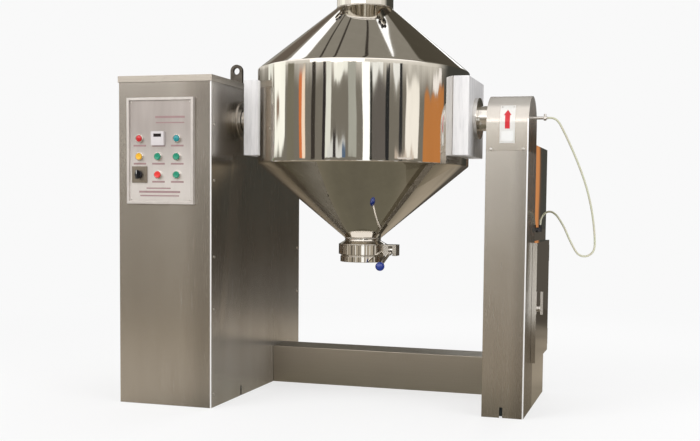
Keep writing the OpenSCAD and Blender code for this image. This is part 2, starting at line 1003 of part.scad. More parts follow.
module compartment_door() {
    x0 = col_out + door_gap;
    x1 = col_out + door_t;
    color("gray") {
        difference() {
            block([x0, door_front, door_z], [x1, door_back, door_z + door_h]);
            block([x0 - over, door_front + door_wall, door_z + door_wall],
                [x1 - door_wall, door_back - door_wall, door_z + door_h - door_wall]);
            bar_x(x0, x1 + over, spindle_r + running, handle_y, handle_z);
        }
        for (share = hinge_shares) {
            z = door_z + door_h * share;
            difference() {
                union() {
                    translate([door_hinge_x, door_hinge_y, z + gap])
                        cylinder(h = hinge_len, r = knuckle_dr);
                    block([door_hinge_x, door_back - door_wall / 2, z + gap], [x1, door_hinge_y, z + gap + hinge_len]);
                }
                translate([door_hinge_x, door_hinge_y, z - over])
                    cylinder(h = hinge_len + 2 * over, r = door_pin_r + running);
            }
        }
    }
}

module door_handle() {
    x1 = col_out + door_t;
    back = col_out - sheet_t - gap;
    color("gainsboro") {
        bar_x(x1 + gap, x1 + gap + handle_t, handle_r, handle_y, handle_z);
        bar_x(back - tongue_t, x1 + gap, spindle_r, handle_y, handle_z);
        block([x1 + gap + handle_t, handle_y - handle_bar / 2, handle_z - handle_tail],
            [x1 + gap + handle_t + handle_bar, handle_y + handle_bar / 2, handle_z + handle_len]);
        block([back - tongue_t, handle_y - spindle_r, handle_z],
            [back, handle_y + spindle_r, handle_z + tongue_len]);
    }
}

// Air line

module air_pipe() {
    color("gainsboro") {
        bar_x(right_end + gap, col_out - sheet_t, union_r, 0, axis_h);
        bar_x(col_out - sheet_t, pipe_end, pipe_r, 0, axis_h);
        translate([pipe_end, 0, axis_h])
            rotate([0, 90, 0])
                cylinder(h = nut_t, r = nut_r, $fn = 6);
        bar_x(pipe_end, right_reach, barb_r, 0, axis_h);
        block([pipe_end, -clip_t / 2, axis_h + barb_r - clip_low], [pipe_end + nut_t, clip_t / 2, axis_h + barb_r + clip_h]);
    }
}

module hose_gland() {
    color("gainsboro") {
        bar_x(col_out, col_out + gland_t, gland_r, gland_y, gland_z);
        block([col_out + gland_t, gland_y - elbow_r, gland_z - elbow_r],
            [col_out + elbow_out + elbow_r, gland_y + elbow_r, gland_z + elbow_r]);
        translate([col_out + elbow_out, gland_y, gland_z + elbow_r])
            cylinder(h = elbow_up - elbow_r, r = collet_r);
    }
}

// A point of the smooth curve through the route, at share t of the way from point i to the next
function route_at(p, i, t) =
    let (a = p[max(i - 1, 0)], b = p[i], c = p[i + 1], d = p[min(i + 2, len(p) - 1)])
    0.5 * (2 * b + (c - a) * t + (2 * a - 5 * b + 4 * c - d) * t * t + (3 * b - a - 3 * c + d) * t * t * t);
function unit(v) = v / norm(v);
// The smooth curve, with short straight ends
function smooth_route(p) = concat(
    [p[0]],
    [for (i = [1 : len(p) - 3]) for (s = [0 : hose_steps - 1]) route_at(p, i, s / hose_steps)],
    [p[len(p) - 2], p[len(p) - 1]]
);
function route_way(c, i) =
    i == 0 ? unit(c[1] - c[0]) :
    i == len(c) - 1 ? unit(c[i] - c[i - 1]) : unit(unit(c[i] - c[i - 1]) + unit(c[i + 1] - c[i]));
// Rings of the tube, each square to the curve, set out from the Y direction
function route_ring(c, i, r, sides) =
    let (w = route_way(c, i), u = unit(cross(w, [0, 1, 0])), v = cross(w, u))
    [for (k = [0 : sides - 1]) c[i] + r * (u * cos(k * 360 / sides) + v * sin(k * 360 / sides))];

module sweep(c, r, sides) {
    n = len(c);
    points = [for (i = [0 : n - 1]) each route_ring(c, i, r, sides)];
    walls = [for (i = [0 : n - 2]) for (k = [0 : sides - 1])
        let (a = i * sides + k, b = i * sides + (k + 1) % sides)
        each [[a, b, b + sides], [a, b + sides, a + sides]]];
    start = [for (k = [1 : sides - 2]) [0, k + 1, k]];
    end = [for (k = [1 : sides - 2]) [(n - 1) * sides, (n - 1) * sides + k, (n - 1) * sides + k + 1]];
    polyhedron(points = points, faces = concat(walls, start, end), convexity = 10);
}

module air_hose() {
    color("darkkhaki")
        sweep(smooth_route(hose_points), hose_r, hose_sides);
}

// Drum

module drum_band() {
    color("gainsboro")
        difference() {
            translate([0, 0, band_low])
                cylinder(h = band_h, r = drum_r);
            translate([0, 0, band_low - over])
                cylinder(h = band_h + 2 * over, r = drum_r - drum_t);
        }
}

module upper_cone() {
    color("gainsboro")
        rotate_extrude()
            polygon([
                [drum_r - drum_t, band_top],
                [drum_r, band_top],
                [top_r, cone_top],
                [top_r - drum_t, cone_top]
            ]);
}

module lower_cone() {
    color("gainsboro")
        rotate_extrude()
            polygon([
                [drum_r - drum_t, band_low],
                [neck_r - drum_t, cone_low],
                [neck_r, cone_low],
                [drum_r, band_low]
            ]);
}

module saddles() {
    color("lightgray")
        for (side = [-1, 1])
            scale([side, 1, 1])
                difference() {
                    block([drum_r / 2, -saddle_w / 2, axis_h - saddle_h / 2],
                        [saddle_x, saddle_w / 2, axis_h + saddle_h / 2]);
                    block([drum_r / 2 - over, -saddle_w / 2 + saddle_t, axis_h - saddle_h / 2 + saddle_t],
                        [saddle_x - saddle_t, saddle_w / 2 - saddle_t, axis_h + saddle_h / 2 - saddle_t]);
                    translate([0, 0, band_low])
                        cylinder(h = band_h, r = drum_r);
                }
}

module trunnion_left() {
    shoulder = left_bear + bear_w / 2;
    color("silver") {
        bar_x(-saddle_x - flange_t, -saddle_x, flange_r, 0, axis_h);
        bar_x(shoulder, -saddle_x - flange_t, shaft_r, 0, axis_h);
        bar_x(left_bear - bear_w / 2 - collar_gap, shoulder, seat_r, 0, axis_h);
        bar_x(left_end, left_bear - bear_w / 2 - collar_gap, nose_r, 0, axis_h);
    }
}

module trunnion_right() {
    shoulder = right_bear - bear_w / 2;
    color("silver")
        difference() {
            union() {
                bar_x(saddle_x, saddle_x + flange_t, flange_r, 0, axis_h);
                bar_x(saddle_x + flange_t, shoulder, shaft_r, 0, axis_h);
                bar_x(shoulder, right_end, seat_r, 0, axis_h);
            }
            bar_x(saddle_x - over, right_end + over, pipe_r * 2, 0, axis_h);
        }
}

// Charging port

module charging_collar() {
    color("gainsboro") {
        rotate_extrude()
            polygon([
                [top_r - drum_t, cone_top],
                [collar_r, cone_top],
                [collar_r, rim_top - rim_t],
                [lid_r, rim_top - rim_t],
                [lid_r, rim_top],
                [collar_r - collar_t, rim_top],
                [collar_r - collar_t, cone_top + floor_t],
                [top_r - drum_t, cone_top + floor_t]
            ]);
        for (side = [-1, 1]) {
            difference() {
                union() {
                    translate([side * knob_ring * cos(knob_angle), -knob_ring * sin(knob_angle), rim_top - rim_t])
                        cylinder(h = rim_t, r = knob_ear_r);
                    rotate(side > 0 ? -knob_angle : 180 + knob_angle)
                        block([collar_r + over, -knob_arm, rim_top - rim_t], [knob_ring, knob_arm, rim_top]);
                }
                translate([side * knob_ring * cos(knob_angle), -knob_ring * sin(knob_angle), rim_top - rim_t - over])
                    cylinder(h = rim_t + 2 * over, r = stud_r + stud_gap);
            }
            x0 = side > 0 ? knuckle_w / 2 + gap : -knuckle_w / 2 - gap - ear_t;
            bar_x(x0, x0 + ear_t, knuckle_r, hinge_y, hinge_z);
            block([x0, hinge_y - knuckle_r, rim_top - rim_t], [x0 + ear_t, hinge_y + knuckle_r, hinge_z]);
            block([x0, collar_r + over, rim_top - rim_t], [x0 + ear_t, hinge_y, rim_top]);
        }
        bar_x(-knuckle_w / 2 - gap - ear_t / 2, knuckle_w / 2 + gap + ear_t / 2, pin_r, hinge_y, hinge_z);
    }
}

module lid_gasket() {
    color("white")
        difference() {
            translate([0, 0, rim_top])
                cylinder(h = gasket_t, r = lid_r - rim_t);
            translate([0, 0, rim_top - over])
                cylinder(h = gasket_t + 2 * over, r = collar_r - collar_t);
        }
}

module charging_lid() {
    dome_r = collar_r - collar_t;
    ball = (dome_r * dome_r + dome_h * dome_h) / (2 * dome_h);
    top = cover_z + cover_t;
    color("silver") {
        difference() {
            union() {
                translate([0, 0, cover_z])
                    cylinder(h = cover_t, r = lid_r);
                intersection() {
                    translate([0, 0, top + dome_h - ball])
                        sphere(ball);
                    translate([0, 0, cover_z])
                        cylinder(h = cover_t + dome_h, r = dome_r);
                }
                for (side = [-1, 1]) {
                    translate([side * knob_ring * cos(knob_angle), -knob_ring * sin(knob_angle), cover_z])
                        cylinder(h = cover_t, r = knob_ear_r);
                    rotate(side > 0 ? -knob_angle : 180 + knob_angle)
                        block([dome_r, -knob_arm, cover_z], [knob_ring, knob_arm, top]);
                }
                bar_x(-knuckle_w / 2, knuckle_w / 2, knuckle_r, hinge_y, hinge_z);
                block([-knuckle_w / 2, lid_r - knuckle_r, cover_z], [knuckle_w / 2, hinge_y, top]);
            }
            translate([0, 0, top + dome_h - ball - cover_t])
                intersection() {
                    sphere(ball);
                    translate([0, 0, ball - dome_h - cover_t])
                        cylinder(h = dome_h + cover_t + over, r = dome_r - cover_t);
                }
            for (side = [-1, 1])
                translate([side * knob_ring * cos(knob_angle), -knob_ring * sin(knob_angle), cover_z - over])
                    cylinder(h = cover_t + 2 * over, r = stud_r + running);
            bar_x(-knuckle_w / 2 - over, knuckle_w / 2 + over, pin_r + running, hinge_y, hinge_z);
        }
        bow_z = top + dome_h + bow_h;
        for (side = [-1, 1])
            translate([side * bow_w / 2, 0, top + dome_h * bow_foot_share])
                cylinder(h = bow_z - top - dome_h * bow_foot_share, r = bow_r);
        for (side = [-1, 1])
            translate([side * bow_w / 2, 0, bow_z])
                sphere(bow_r);
        bar_x(-bow_w / 2, bow_w / 2, bow_r, 0, bow_z);
    }
}

module lid_knob(side) {
    top = cover_z + cover_t + gap;
    translate([side * knob_ring * cos(knob_angle), -knob_ring * sin(knob_angle), 0]) {
        translate([0, 0, rim_top - rim_t + over])
            cylinder(h = top - rim_top + rim_t, r = stud_r);
        translate([0, 0, top])
            cylinder(h = knob_h, r = knob_r);
        for (i = [0 : knob_lobes - 1])
            rotate(i * 360 / knob_lobes)
                translate([knob_r, 0, top])
                    cylinder(h = knob_h, r = knob_lobe, $fn = 24);
    }
}

module lid_knob_left() {
    color("black")
        lid_knob(-1);
}

module lid_knob_right() {
    color("black")
        lid_knob(1);
}

// Discharge valve

module discharge_neck() {
    color("gainsboro")
        rotate_extrude()
            polygon([
                [bore_r, cone_low],
                [bore_r, valve_top],
                [valve_r, valve_top],
                [valve_r, valve_top + slope_h / 3],
                [neck_r, slope_z],
                [neck_r, cone_low]
            ]);
}

module valve_body() {
    color("silver")
        difference() {
            translate([0, 0, valve_low])
                cylinder(h = valve_h, r = valve_r);
            translate([0, 0, valve_low - over])
                cylinder(h = valve_h + 2 * over, r = seat_in + seat_t);
            bar_x(-stub_end - over, valve_r + over, stem_r + running, 0, stem_z);
        }
}

module valve_seat() {
    color("white")
        difference() {
            translate([0, 0, valve_low])
                cylinder(h = valve_h, r = seat_in + seat_t);
            translate([0, 0, valve_low - over])
                cylinder(h = valve_h + 2 * over, r = seat_in);
            bar_x(-valve_r, valve_r, stem_r + running, 0, stem_z);
        }
}

module outlet_ferrule() {
    groove = outlet_h / 4;
    color("silver")
        difference() {
            translate([0, 0, outlet_low])
                cylinder(h = outlet_h, r = outlet_r);
            translate([0, 0, outlet_low - over])
                cylinder(h = outlet_h + 2 * over, r = seat_in);
            translate([0, 0, valve_low - groove])
                difference() {
                    cylinder(h = groove / 2, r = outlet_r + over);
                    translate([0, 0, -over])
                        cylinder(h = groove + 2 * over, r = outlet_r - groove / 2);
                }
        }
}

module lever_guard() {
    low = stem_z - guard_h / 2;
    color("silver")
        difference() {
            block([neck_r, -guard_d / 2, low], [guard_end, guard_d / 2, low + guard_h]);
            translate([0, 0, low - over])
                cylinder(h = guard_h + 2 * over, r = valve_r);
            block([lever_x - guard_slot / 2, -guard_d / 2 - over, low - over],
                [lever_x + guard_slot / 2, guard_d / 2 + over, low + guard_h - guard_roof]);
            bar_x(neck_r, guard_end + over, stem_r + running, 0, stem_z);
        }
}

module valve_disc() {
    color("silver")
        difference() {
            union() {
                translate([0, 0, stem_z - flap_t / 2])
                    cylinder(h = flap_t, r = flap_r);
                bar_x(-flap_r + flap_hub_r, flap_r - flap_hub_r, flap_hub_r, 0, stem_z);
            }
            bar_x(-flap_r - over, flap_r + over, stem_r, 0, stem_z);
        }
}

module valve_lever() {
    color("lightgray") {
        bar_x(-stub_end, guard_end, stem_r, 0, stem_z);
        bar_x(lever_x - hub_w / 2, lever_x + hub_w / 2, hub_r, 0, stem_z);
        translate([lever_x, 0, stem_z])
            rotate([90 + lever_dip, 0, 0])
                cylinder(h = lever_len - ball_r / 2, r = lever_r);
    }
}

module lever_ball() {
    color("royalblue")
        translate([lever_x, 0, stem_z])
            rotate([90 + lever_dip, 0, 0])
                difference() {
                    translate([0, 0, lever_len])
                        sphere(ball_r);
                    cylinder(h = lever_len - ball_r / 2, r = lever_r);
                }
}

place() base_beam();
place() cabinet_base();
place() corner_posts();
place() pedestals();
place() cabinet_front_panel();
place() cabinet_inner_panel();
place() cabinet_outer_panel();
place() cabinet_rear_panel();
place() cabinet_lid();
place() lifting_lug();
place() panel_frame();
place() panel_plate();
place() speed_meter();
place() lamp_red();
place() lamp_teal();
place() control_bezels();
place() contact_blocks();
place() switch_plate();
place() cover_screws();
place() gear_reducer();
place() drive_motor();
place() bearing_blocks();
place() drive_chain();
place() column_shell();
place() column_cap();
place() direction_plate();
place() rear_compartment();
place() air_pipe();
place() hose_gland();
place() air_hose();
place() drum_band();
place() upper_cone();
place() lower_cone();
place() saddles();
place() trunnion_left();
place() trunnion_right();
place() bearing_rings();
place() charging_collar();
place() lid_gasket();
place() discharge_neck();
place() valve_body();
place() valve_seat();
place() outlet_ferrule();
place() lever_guard();
place() driven_sprocket();
place() charging_lid();
place() lid_knob_left();
place() lid_knob_right();
place() valve_disc();
place() valve_lever();
place() lever_ball();
place() drive_sprocket();
place() compartment_door();
place() door_handle();
place() button_yellow();
place() button_green_middle();
place() button_green_upper();
place() button_green_lower();
place() button_red();
place() switch_knob();
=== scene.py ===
import json
import math
import bpy
import bmesh
import numpy as np
from mathutils import Matrix


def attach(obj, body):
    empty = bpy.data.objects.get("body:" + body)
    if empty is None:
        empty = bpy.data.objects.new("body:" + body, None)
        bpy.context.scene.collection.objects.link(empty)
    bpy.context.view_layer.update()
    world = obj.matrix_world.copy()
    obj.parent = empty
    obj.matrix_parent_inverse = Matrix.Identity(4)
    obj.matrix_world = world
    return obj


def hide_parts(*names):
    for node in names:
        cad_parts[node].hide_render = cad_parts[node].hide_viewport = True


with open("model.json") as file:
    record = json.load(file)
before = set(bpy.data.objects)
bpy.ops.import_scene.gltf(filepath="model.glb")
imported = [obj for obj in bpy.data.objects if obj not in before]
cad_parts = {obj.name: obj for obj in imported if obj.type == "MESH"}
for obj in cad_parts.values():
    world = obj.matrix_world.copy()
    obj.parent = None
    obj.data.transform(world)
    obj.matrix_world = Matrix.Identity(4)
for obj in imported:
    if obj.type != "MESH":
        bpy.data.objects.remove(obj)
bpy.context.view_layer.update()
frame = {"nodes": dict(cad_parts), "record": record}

nodes = frame["nodes"]
bodyOf = {name: body for body, names in frame["record"]["behaviour"]["bodies"].items() for name in names}
middle = np.array([0.083, -0.0825, 0.0])                # under the drum's centre, on the floor


# the camera, solved from the photograph's edges
cameraSet = {
    "place": (1.12689, -3.27278, 0.70911),
    "yaw": -0.257161063, "pitch": -0.0581505528, "roll": 0.0132278001,
    "lens": 48.8235, "shift": (-0.09837, 0.0549), "sensor": 36, "reach": 100,
}


def axesAt(x, y, z, place):                             # the matrix that holds three axes and a place as its columns
    return Matrix([(x[i], y[i], z[i], place[i]) for i in range(3)] + [(0, 0, 0, 1)])


def makeCamera(s):
    # yaw and pitch give the view axis; side and top, square to it, are turned about it by the roll
    yaw, pitch, roll = s["yaw"], s["pitch"], s["roll"]
    ahead = np.array([math.sin(yaw) * math.cos(pitch), math.cos(yaw) * math.cos(pitch), math.sin(pitch)])
    side = np.array([math.cos(yaw), -math.sin(yaw), 0.0])
    top = np.cross(side, ahead)
    right = math.cos(roll) * side + math.sin(roll) * top
    up = -math.sin(roll) * side + math.cos(roll) * top
    data = bpy.data.cameras.new("viewCamera")
    data.sensor_width = s["sensor"]
    data.lens = s["lens"]
    data.shift_x, data.shift_y = s["shift"]
    data.clip_end = s["reach"]
    obj = bpy.data.objects.new("viewCamera", data)
    obj.matrix_world = axesAt(right, up, -ahead, s["place"])
    bpy.context.scene.collection.objects.link(obj)
    bpy.context.scene.camera = obj
    bpy.context.scene.view_settings.view_transform = "Standard"


makeCamera(cameraSet)
print("camera is set")


# meshes from arrays; every piece lies at the origin with its place in its mesh
meshSet = {"near": 1e-6, "nearInNode": 2e-6, "joined": 0.6, "nodeSmooth": 35, "bevelFrom": 30}    # metres and degrees


def cleaned(mesh, near, joined=0.0):
    # points nearer than that become one, faces within the joined angle too, and all of them are turned outward
    bm = bmesh.new()
    bm.from_mesh(mesh)
    bmesh.ops.remove_doubles(bm, verts=bm.verts, dist=near)
    if joined:
        bmesh.ops.dissolve_limit(bm, angle_limit=math.radians(joined), verts=bm.verts, edges=bm.edges)
    bmesh.ops.recalc_face_normals(bm, faces=bm.faces)
    bm.to_mesh(mesh)
    bm.free()


def finishPiece(name, mesh, material, body, stands, smooth):
    # the mesh as an object, shaded smooth up to that angle, on its body and in the place of the nodes it stands for
    obj = bpy.data.objects.new(name, mesh)
    bpy.context.scene.collection.objects.link(obj)
    mesh.shade_smooth()
    mesh.set_sharp_from_angle(angle=math.radians(smooth))
    mesh.materials.clear()
    mesh.materials.append(bpy.data.materials[material])
    if stands:
        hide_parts(*stands)
    if body:
        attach(obj, body)
    return obj


def makeMesh(name, points, faces, material, body=None, stands=(), smooth=40):    # a piece from points and faces
    mesh = bpy.data.meshes.new(name)
    mesh.from_pydata(np.asarray(points, float).tolist(), [], faces)
    mesh.validate()
    cleaned(mesh, meshSet["near"])
    return finishPiece(name, mesh, material, body, stands, smooth)


def gridFaces(rows, columns, wrapRows=False, wrapColumns=False):    # quads between neighbours of a grid of points
    r = np.arange(rows if wrapRows else rows - 1)
    c = np.arange(columns if wrapColumns else columns - 1)
    i, k = np.meshgrid(r, c, indexing="ij")
    i2, k2 = (i + 1) % rows, (k + 1) % columns
    quads = np.stack([i * columns + k, i * columns + k2, i2 * columns + k2, i2 * columns + k], -1)
    return quads.reshape(-1, 4).tolist()


def turnedPoints(profile, segments, wave=None):
    # a point of the profile is (radius, height); it goes round the axis as (radius cos a, radius sin a, height)
    p = np.asarray(profile, float)
    a = np.linspace(0, 2 * np.pi, segments, endpoint=False)
    r = np.repeat(p[:, :1], segments, 1)
    z = np.repeat(p[:, 1:2], segments, 1)
    if wave is not None:
        r = r - wave(a[None, :], z)
    return np.stack([r * np.cos(a), r * np.sin(a), z], -1)


def turned(name, profile, centre, axis="z", segments=96, closed=False, wave=None, **rest):
    # the turned points, laid along z or y from the centre; a closed profile joins its last point to its first
    points = turnedPoints(profile, segments, wave)
    if axis == "y":
        points = points[..., [1, 2, 0]]
    faces = gridFaces(points.shape[0], segments, closed, True)
    makeMesh(name, points.reshape(-1, 3) + np.asarray(centre), faces, **rest)


def rounded(corners, radii, steps):
    # each corner of the line becomes an arc that touches both of its sides; the ends stay
    corners = [np.asarray(c, float) for c in corners]
    out = [corners[0]]
    for before, corner, after, r in zip(corners, corners[1:], corners[2:], radii):
        a, b = before - corner, after - corner
        la, lb = np.linalg.norm(a), np.linalg.norm(b)
        a, b = a / la, b / lb
        half = math.acos(float(np.clip(a @ b, -1, 1))) / 2
        if r <= 0 or half > 1.55:                       # a sharp corner, or as good as straight
            out.append(corner)
            continue
        reach = min(r / math.tan(half), 0.49 * la, 0.49 * lb)    # an arc stays within its own half of a side
        r = reach * math.tan(half)
        hub = corner + (a + b) / np.linalg.norm(a + b) * r / math.sin(half)
        first, last = corner + a * reach - hub, corner + b * reach - hub
        sweep = math.atan2(first[0] * last[1] - first[1] * last[0], first @ last)
        t = np.linspace(0, sweep, steps + 1)
        out.extend(np.stack([hub[0] + first[0] * np.cos(t) - first[1] * np.sin(t),
                             hub[1] + first[0] * np.sin(t) + first[1] * np.cos(t)], 1))
    out.append(corners[-1])
    return np.array(out)


def tubeRings(path, radius, count):
    # along the path each ring lies square to it; the ring's first direction is carried on from point to point
    p = np.asarray(path, float)
    along = np.gradient(p, axis=0)
    along /= np.linalg.norm(along, axis=1)[:, None]
    side, sides = np.cross(along[0], [0.0, 0.0, 1.0]), []
    for t in along:
        side = side - t * (side @ t)
        side = side / np.linalg.norm(side)
        sides.append(side)
    s = np.array(sides)
    u = np.cross(along, s)
    a = np.linspace(0, 2 * np.pi, count, endpoint=False)
    return p[:, None] + radius * (s[:, None] * np.cos(a)[None, :, None] + u[:, None] * np.sin(a)[None, :, None])


def tube(name, path, radius, count, **rest):            # rings along a path, with a flat cap at both ends
    rings = tubeRings(path, radius, count)
    n = len(rings)
    faces = gridFaces(n, count, False, True)
    faces.append(list(range(count)))
    faces.append(list(range((n - 1) * count, n * count))[::-1])
    return makeMesh(name, rings.reshape(-1, 3), faces, **rest)


def softened(node, width, segments, material):
    # the node's own solid, welded, with its sharp edges rounded by a live bevel of that width
    s = meshSet
    mesh = nodes[node].data.copy()
    mesh.name = node + "Soft"
    cleaned(mesh, s["nearInNode"], s["joined"])
    obj = finishPiece(node + "Soft", mesh, material, bodyOf[node], (node,), s["nodeSmooth"])
    bevel = obj.modifiers.new("softEdges", "BEVEL")
    bevel.width = width
    bevel.segments = segments
    bevel.limit_method = "ANGLE"
    bevel.angle_limit = math.radians(s["bevelFrom"])
    bevel.harden_normals = True
    bevel.use_clamp_overlap = True


def softenAll(edges, segments):                         # edges holds the width for each node, under the node's finish
    for material, widths in edges.items():
        for node, width in widths.items():
            softened(node, width, segments, material)


# shader helpers
class Wire:                                             # one output socket that can stand in a sum
    def __init__(self, book, socket):
        self.book, self.socket = book, socket

    def math(self, kind, *others):
        return self.book.node("ShaderNodeMath", {"operation": kind}, dict(enumerate((self,) + others)))

    def mirrored(self, kind, other):                    # the same sum with its two sides swapped
        return self.book.node("ShaderNodeMath", {"operation": kind}, {0: other, 1: self})

    def __add__(self, other):
        return self.math("ADD", other)

    __radd__ = __add__

    def __sub__(self, other):
        return self.math("SUBTRACT", other)

    def __rsub__(self, other):
        return self.mirrored("SUBTRACT", other)

    def __mul__(self, other):
        return self.math("MULTIPLY", other)

    __rmul__ = __mul__

    def __truediv__(self, other):
        return self.math("DIVIDE", other)

    def __rtruediv__(self, other):
        return self.mirrored("DIVIDE", other)

    def pick(self, name):                               # another output of the same node
        return Wire(self.book, self.socket.node.outputs[name])

    def size(self):                                     # without its sign
        return self.math("ABSOLUTE")

    def least(self, other):
        return self.math("MINIMUM", other)

    def most(self, other):
        return self.math("MAXIMUM", other)

    def ramp(self, low, high):                          # 0 below low, 1 above high, eased between
        return self.book.node("ShaderNodeMapRange", {"interpolation_type": "SMOOTHSTEP", "clamp": True},
                              {0: self, 1: low, 2: high, 3: 0.0, 4: 1.0})


class Book:                                             # the node tree of one material or of the world
    def __init__(self, owner):
        owner.use_nodes = True
        self.tree = owner.node_tree
        self.tree.nodes.clear()

    def node(self, kind, settings=None, sockets=None):
        node = self.tree.nodes.new(kind)
        for key, value in (settings or {}).items():
            setattr(node, key, value)
        for key, value in (sockets or {}).items():
            if isinstance(value, Wire):
                self.tree.links.new(value.socket, node.inputs[key])
            else:
                node.inputs[key].default_value = value
        return Wire(self, node.outputs[0]) if node.outputs else node

    def spot(self, scale):                              # object coordinates, stretched
        place = self.node("ShaderNodeTexCoord").pick("Object")
        return self.node("ShaderNodeMapping", {}, {"Vector": place, "Scale": scale})

    def noise(self, scale, stretch, detail, rough=0.5):
        return self.node("ShaderNodeTexNoise", {}, {"Vector": self.spot(stretch), "Scale": scale, "Detail": detail,
                                                    "Roughness": rough})

    def parts(self):                                    # x, y and z of the object coordinates
        cut = self.node("ShaderNodeSeparateXYZ", {}, {0: self.node("ShaderNodeTexCoord").pick("Object")})
        return cut, cut.pick("Y"), cut.pick("Z")

    def blend(self, amount, first, second):             # a mix of two colours
        return self.node("ShaderNodeMix", {"data_type": "RGBA"}, {0: amount, 6: first, 7: second}).pick(2)

    def bump(self, height, depth, strength):            # a normal bent by the slopes of a height
        return self.node("ShaderNodeBump", {}, {"Height": height, "Distance": depth, "Strength": strength})


def tone(r, g, b):                                      # screen numbers, 0 to 255, through the screen's curve to light
    c = np.array([r, g, b]) / 255.0
    lin = np.where(c <= 0.04045, c / 12.92, ((c + 0.055) / 1.055) ** 2.4)
    return tuple(float(x) for x in lin) + (1.0,)


def grey(level):
    return (level, level, level, 1.0)


def finish(name, settings, varied):                     # one Principled material: constants first, then what varies
    book = Book(bpy.data.materials.new(name))
    shader = book.node("ShaderNodeBsdfPrincipled", {}, settings)
    book.node("ShaderNodeOutputMaterial", {}, {"Surface": shader})
    for key, value in varied(book).items():
        book.tree.links.new(value.socket, shader.socket.node.inputs[key])


# room, floor and lamps
# a card is heading, half width, low edge, high edge, softness (all degrees, heading 0 toward the front), tone, strength
roomSet = {
    "wall": (120, 115, 105), "upperWall": (215, 210, 200), "roof": (135, 130, 120), "rib": (60, 55, 50),
    "rear": (65, 65, 60),
    "plain": 0.72, "behind": 0.947, "metalShare": 0.80,
    "wallTop": (6.5, 9.0), "roofStart": (12, 22), "rearHeading": 160, "rearReach": (62, 40),
    "ribs": (-0.47, -0.335, -0.095), "ribEdge": (0.014, 0.007), "lowest": 0.02,     # places in x over z
    "sway": (5.0, 3.0, 0.6), "swing": 4.5, "lift": (9.0, 2.0, 0.5), "rise": 3.0,    # scale, detail, roughness; degrees
    "calmFrom": 165, "calmSwing": 0.3,                  # past this heading edges hardly sway
    "cards": [
        (-10, 96, 13, 74, 9, (245, 240, 235), 1.30),        # high bright front half of the room
        (-12, 30, 9.3, 20, 1.5, (255, 250, 245), 2.2),
        (-100, 5, 6.9, 15, 0.8, (240, 240, 230), 1),        # window panes along the left
        (-83, 9, 3.2, 15, 0.8, (250, 250, 240), 1.1),
        (-86, 2.5, 4.6, 6.2, 0.8, (150, 130, 115), 1),
        (-66, 5, 0, 9, 1.5, (120, 115, 100), 1),
        (-52, 1.8, 1, 7.6, 0.6, (215, 120, 70), 1),         # warm door post
        (-48.6, 1.4, 1, 7.6, 0.6, (250, 225, 200), 1),
        (-37, 2.2, 0, 9, 0.7, (60, 55, 50), 1),
        (-25, 1.6, 0, 9, 0.5, (50, 45, 45), 1),
        (-20, 2.6, 2, 9, 0.8, (230, 230, 220), 1),
        (-6, 7.5, 7.3, 9, 0.4, (250, 250, 240), 1),
        (-11, 9, 1.5, 3.7, 0.4, (220, 220, 215), 1),
        (-13, 1.6, 1.5, 4.2, 0.4, (50, 45, 45), 1),
        (-3.5, 1.8, 1.5, 3.4, 0.4, (85, 105, 130), 1),
        (6, 4, 2.5, 9, 1.2, (170, 170, 160), 1),
        (20, 3.6, -2, 9, 0.6, (255, 255, 250), 1.25),       # tall bright gap
        (31, 5.5, 7.4, 9, 0.4, (245, 245, 240), 1),
        (33, 8, 0, 7.2, 0.8, (100, 95, 90), 1),
        (25, 0.9, 0, 8, 0.4, (50, 50, 45), 1),
        (43, 1.8, 0, 8.4, 0.5, (45, 45, 45), 1),
        (52, 4, 7.5, 9, 0.4, (240, 240, 235), 1),
        (57, 1.2, 0, 9, 0.5, (50, 50, 50), 1),
        (70, 7.5, 2.6, 7.5, 0.8, (245, 240, 230), 1.05),
        (62, 11, 1.5, 3.3, 0.3, (200, 185, 170), 1),
        (62, 8, 2.0, 2.9, 0.2, (225, 220, 215), 1),
        (98, 14, -3, 6.8, 0.5, (190, 125, 70), 1),          # sheet of plywood
        (101, 6, 6.9, 7.9, 0.3, (250, 245, 240), 1),
        (171.9, 0.52, -3, 6, 0.1, (195, 130, 80), 1),       # its edge, seen behind the column
        (-136, 17, 24, 37.5, 1.5, (100, 90, 80), 1),        # left roof slope
        (-136, 13, 40, 50, 1.5, (255, 255, 255), 1.25),
        (176, 16, 22, 52, 1.5, (75, 70, 60), 1),
        (143, 20, 12, 58, 3, (75, 70, 60), 1),              # dark right half of the roof
        (177.5, 4.8, 53, 64.5, 0.8, (255, 255, 255), 1.3),  # narrow roof light
        (-174, 7, 16, 21.5, 0.8, (255, 255, 255), 1.3),
        (158, 6, 44, 60, 2, (115, 110, 100), 1),
    ],
}


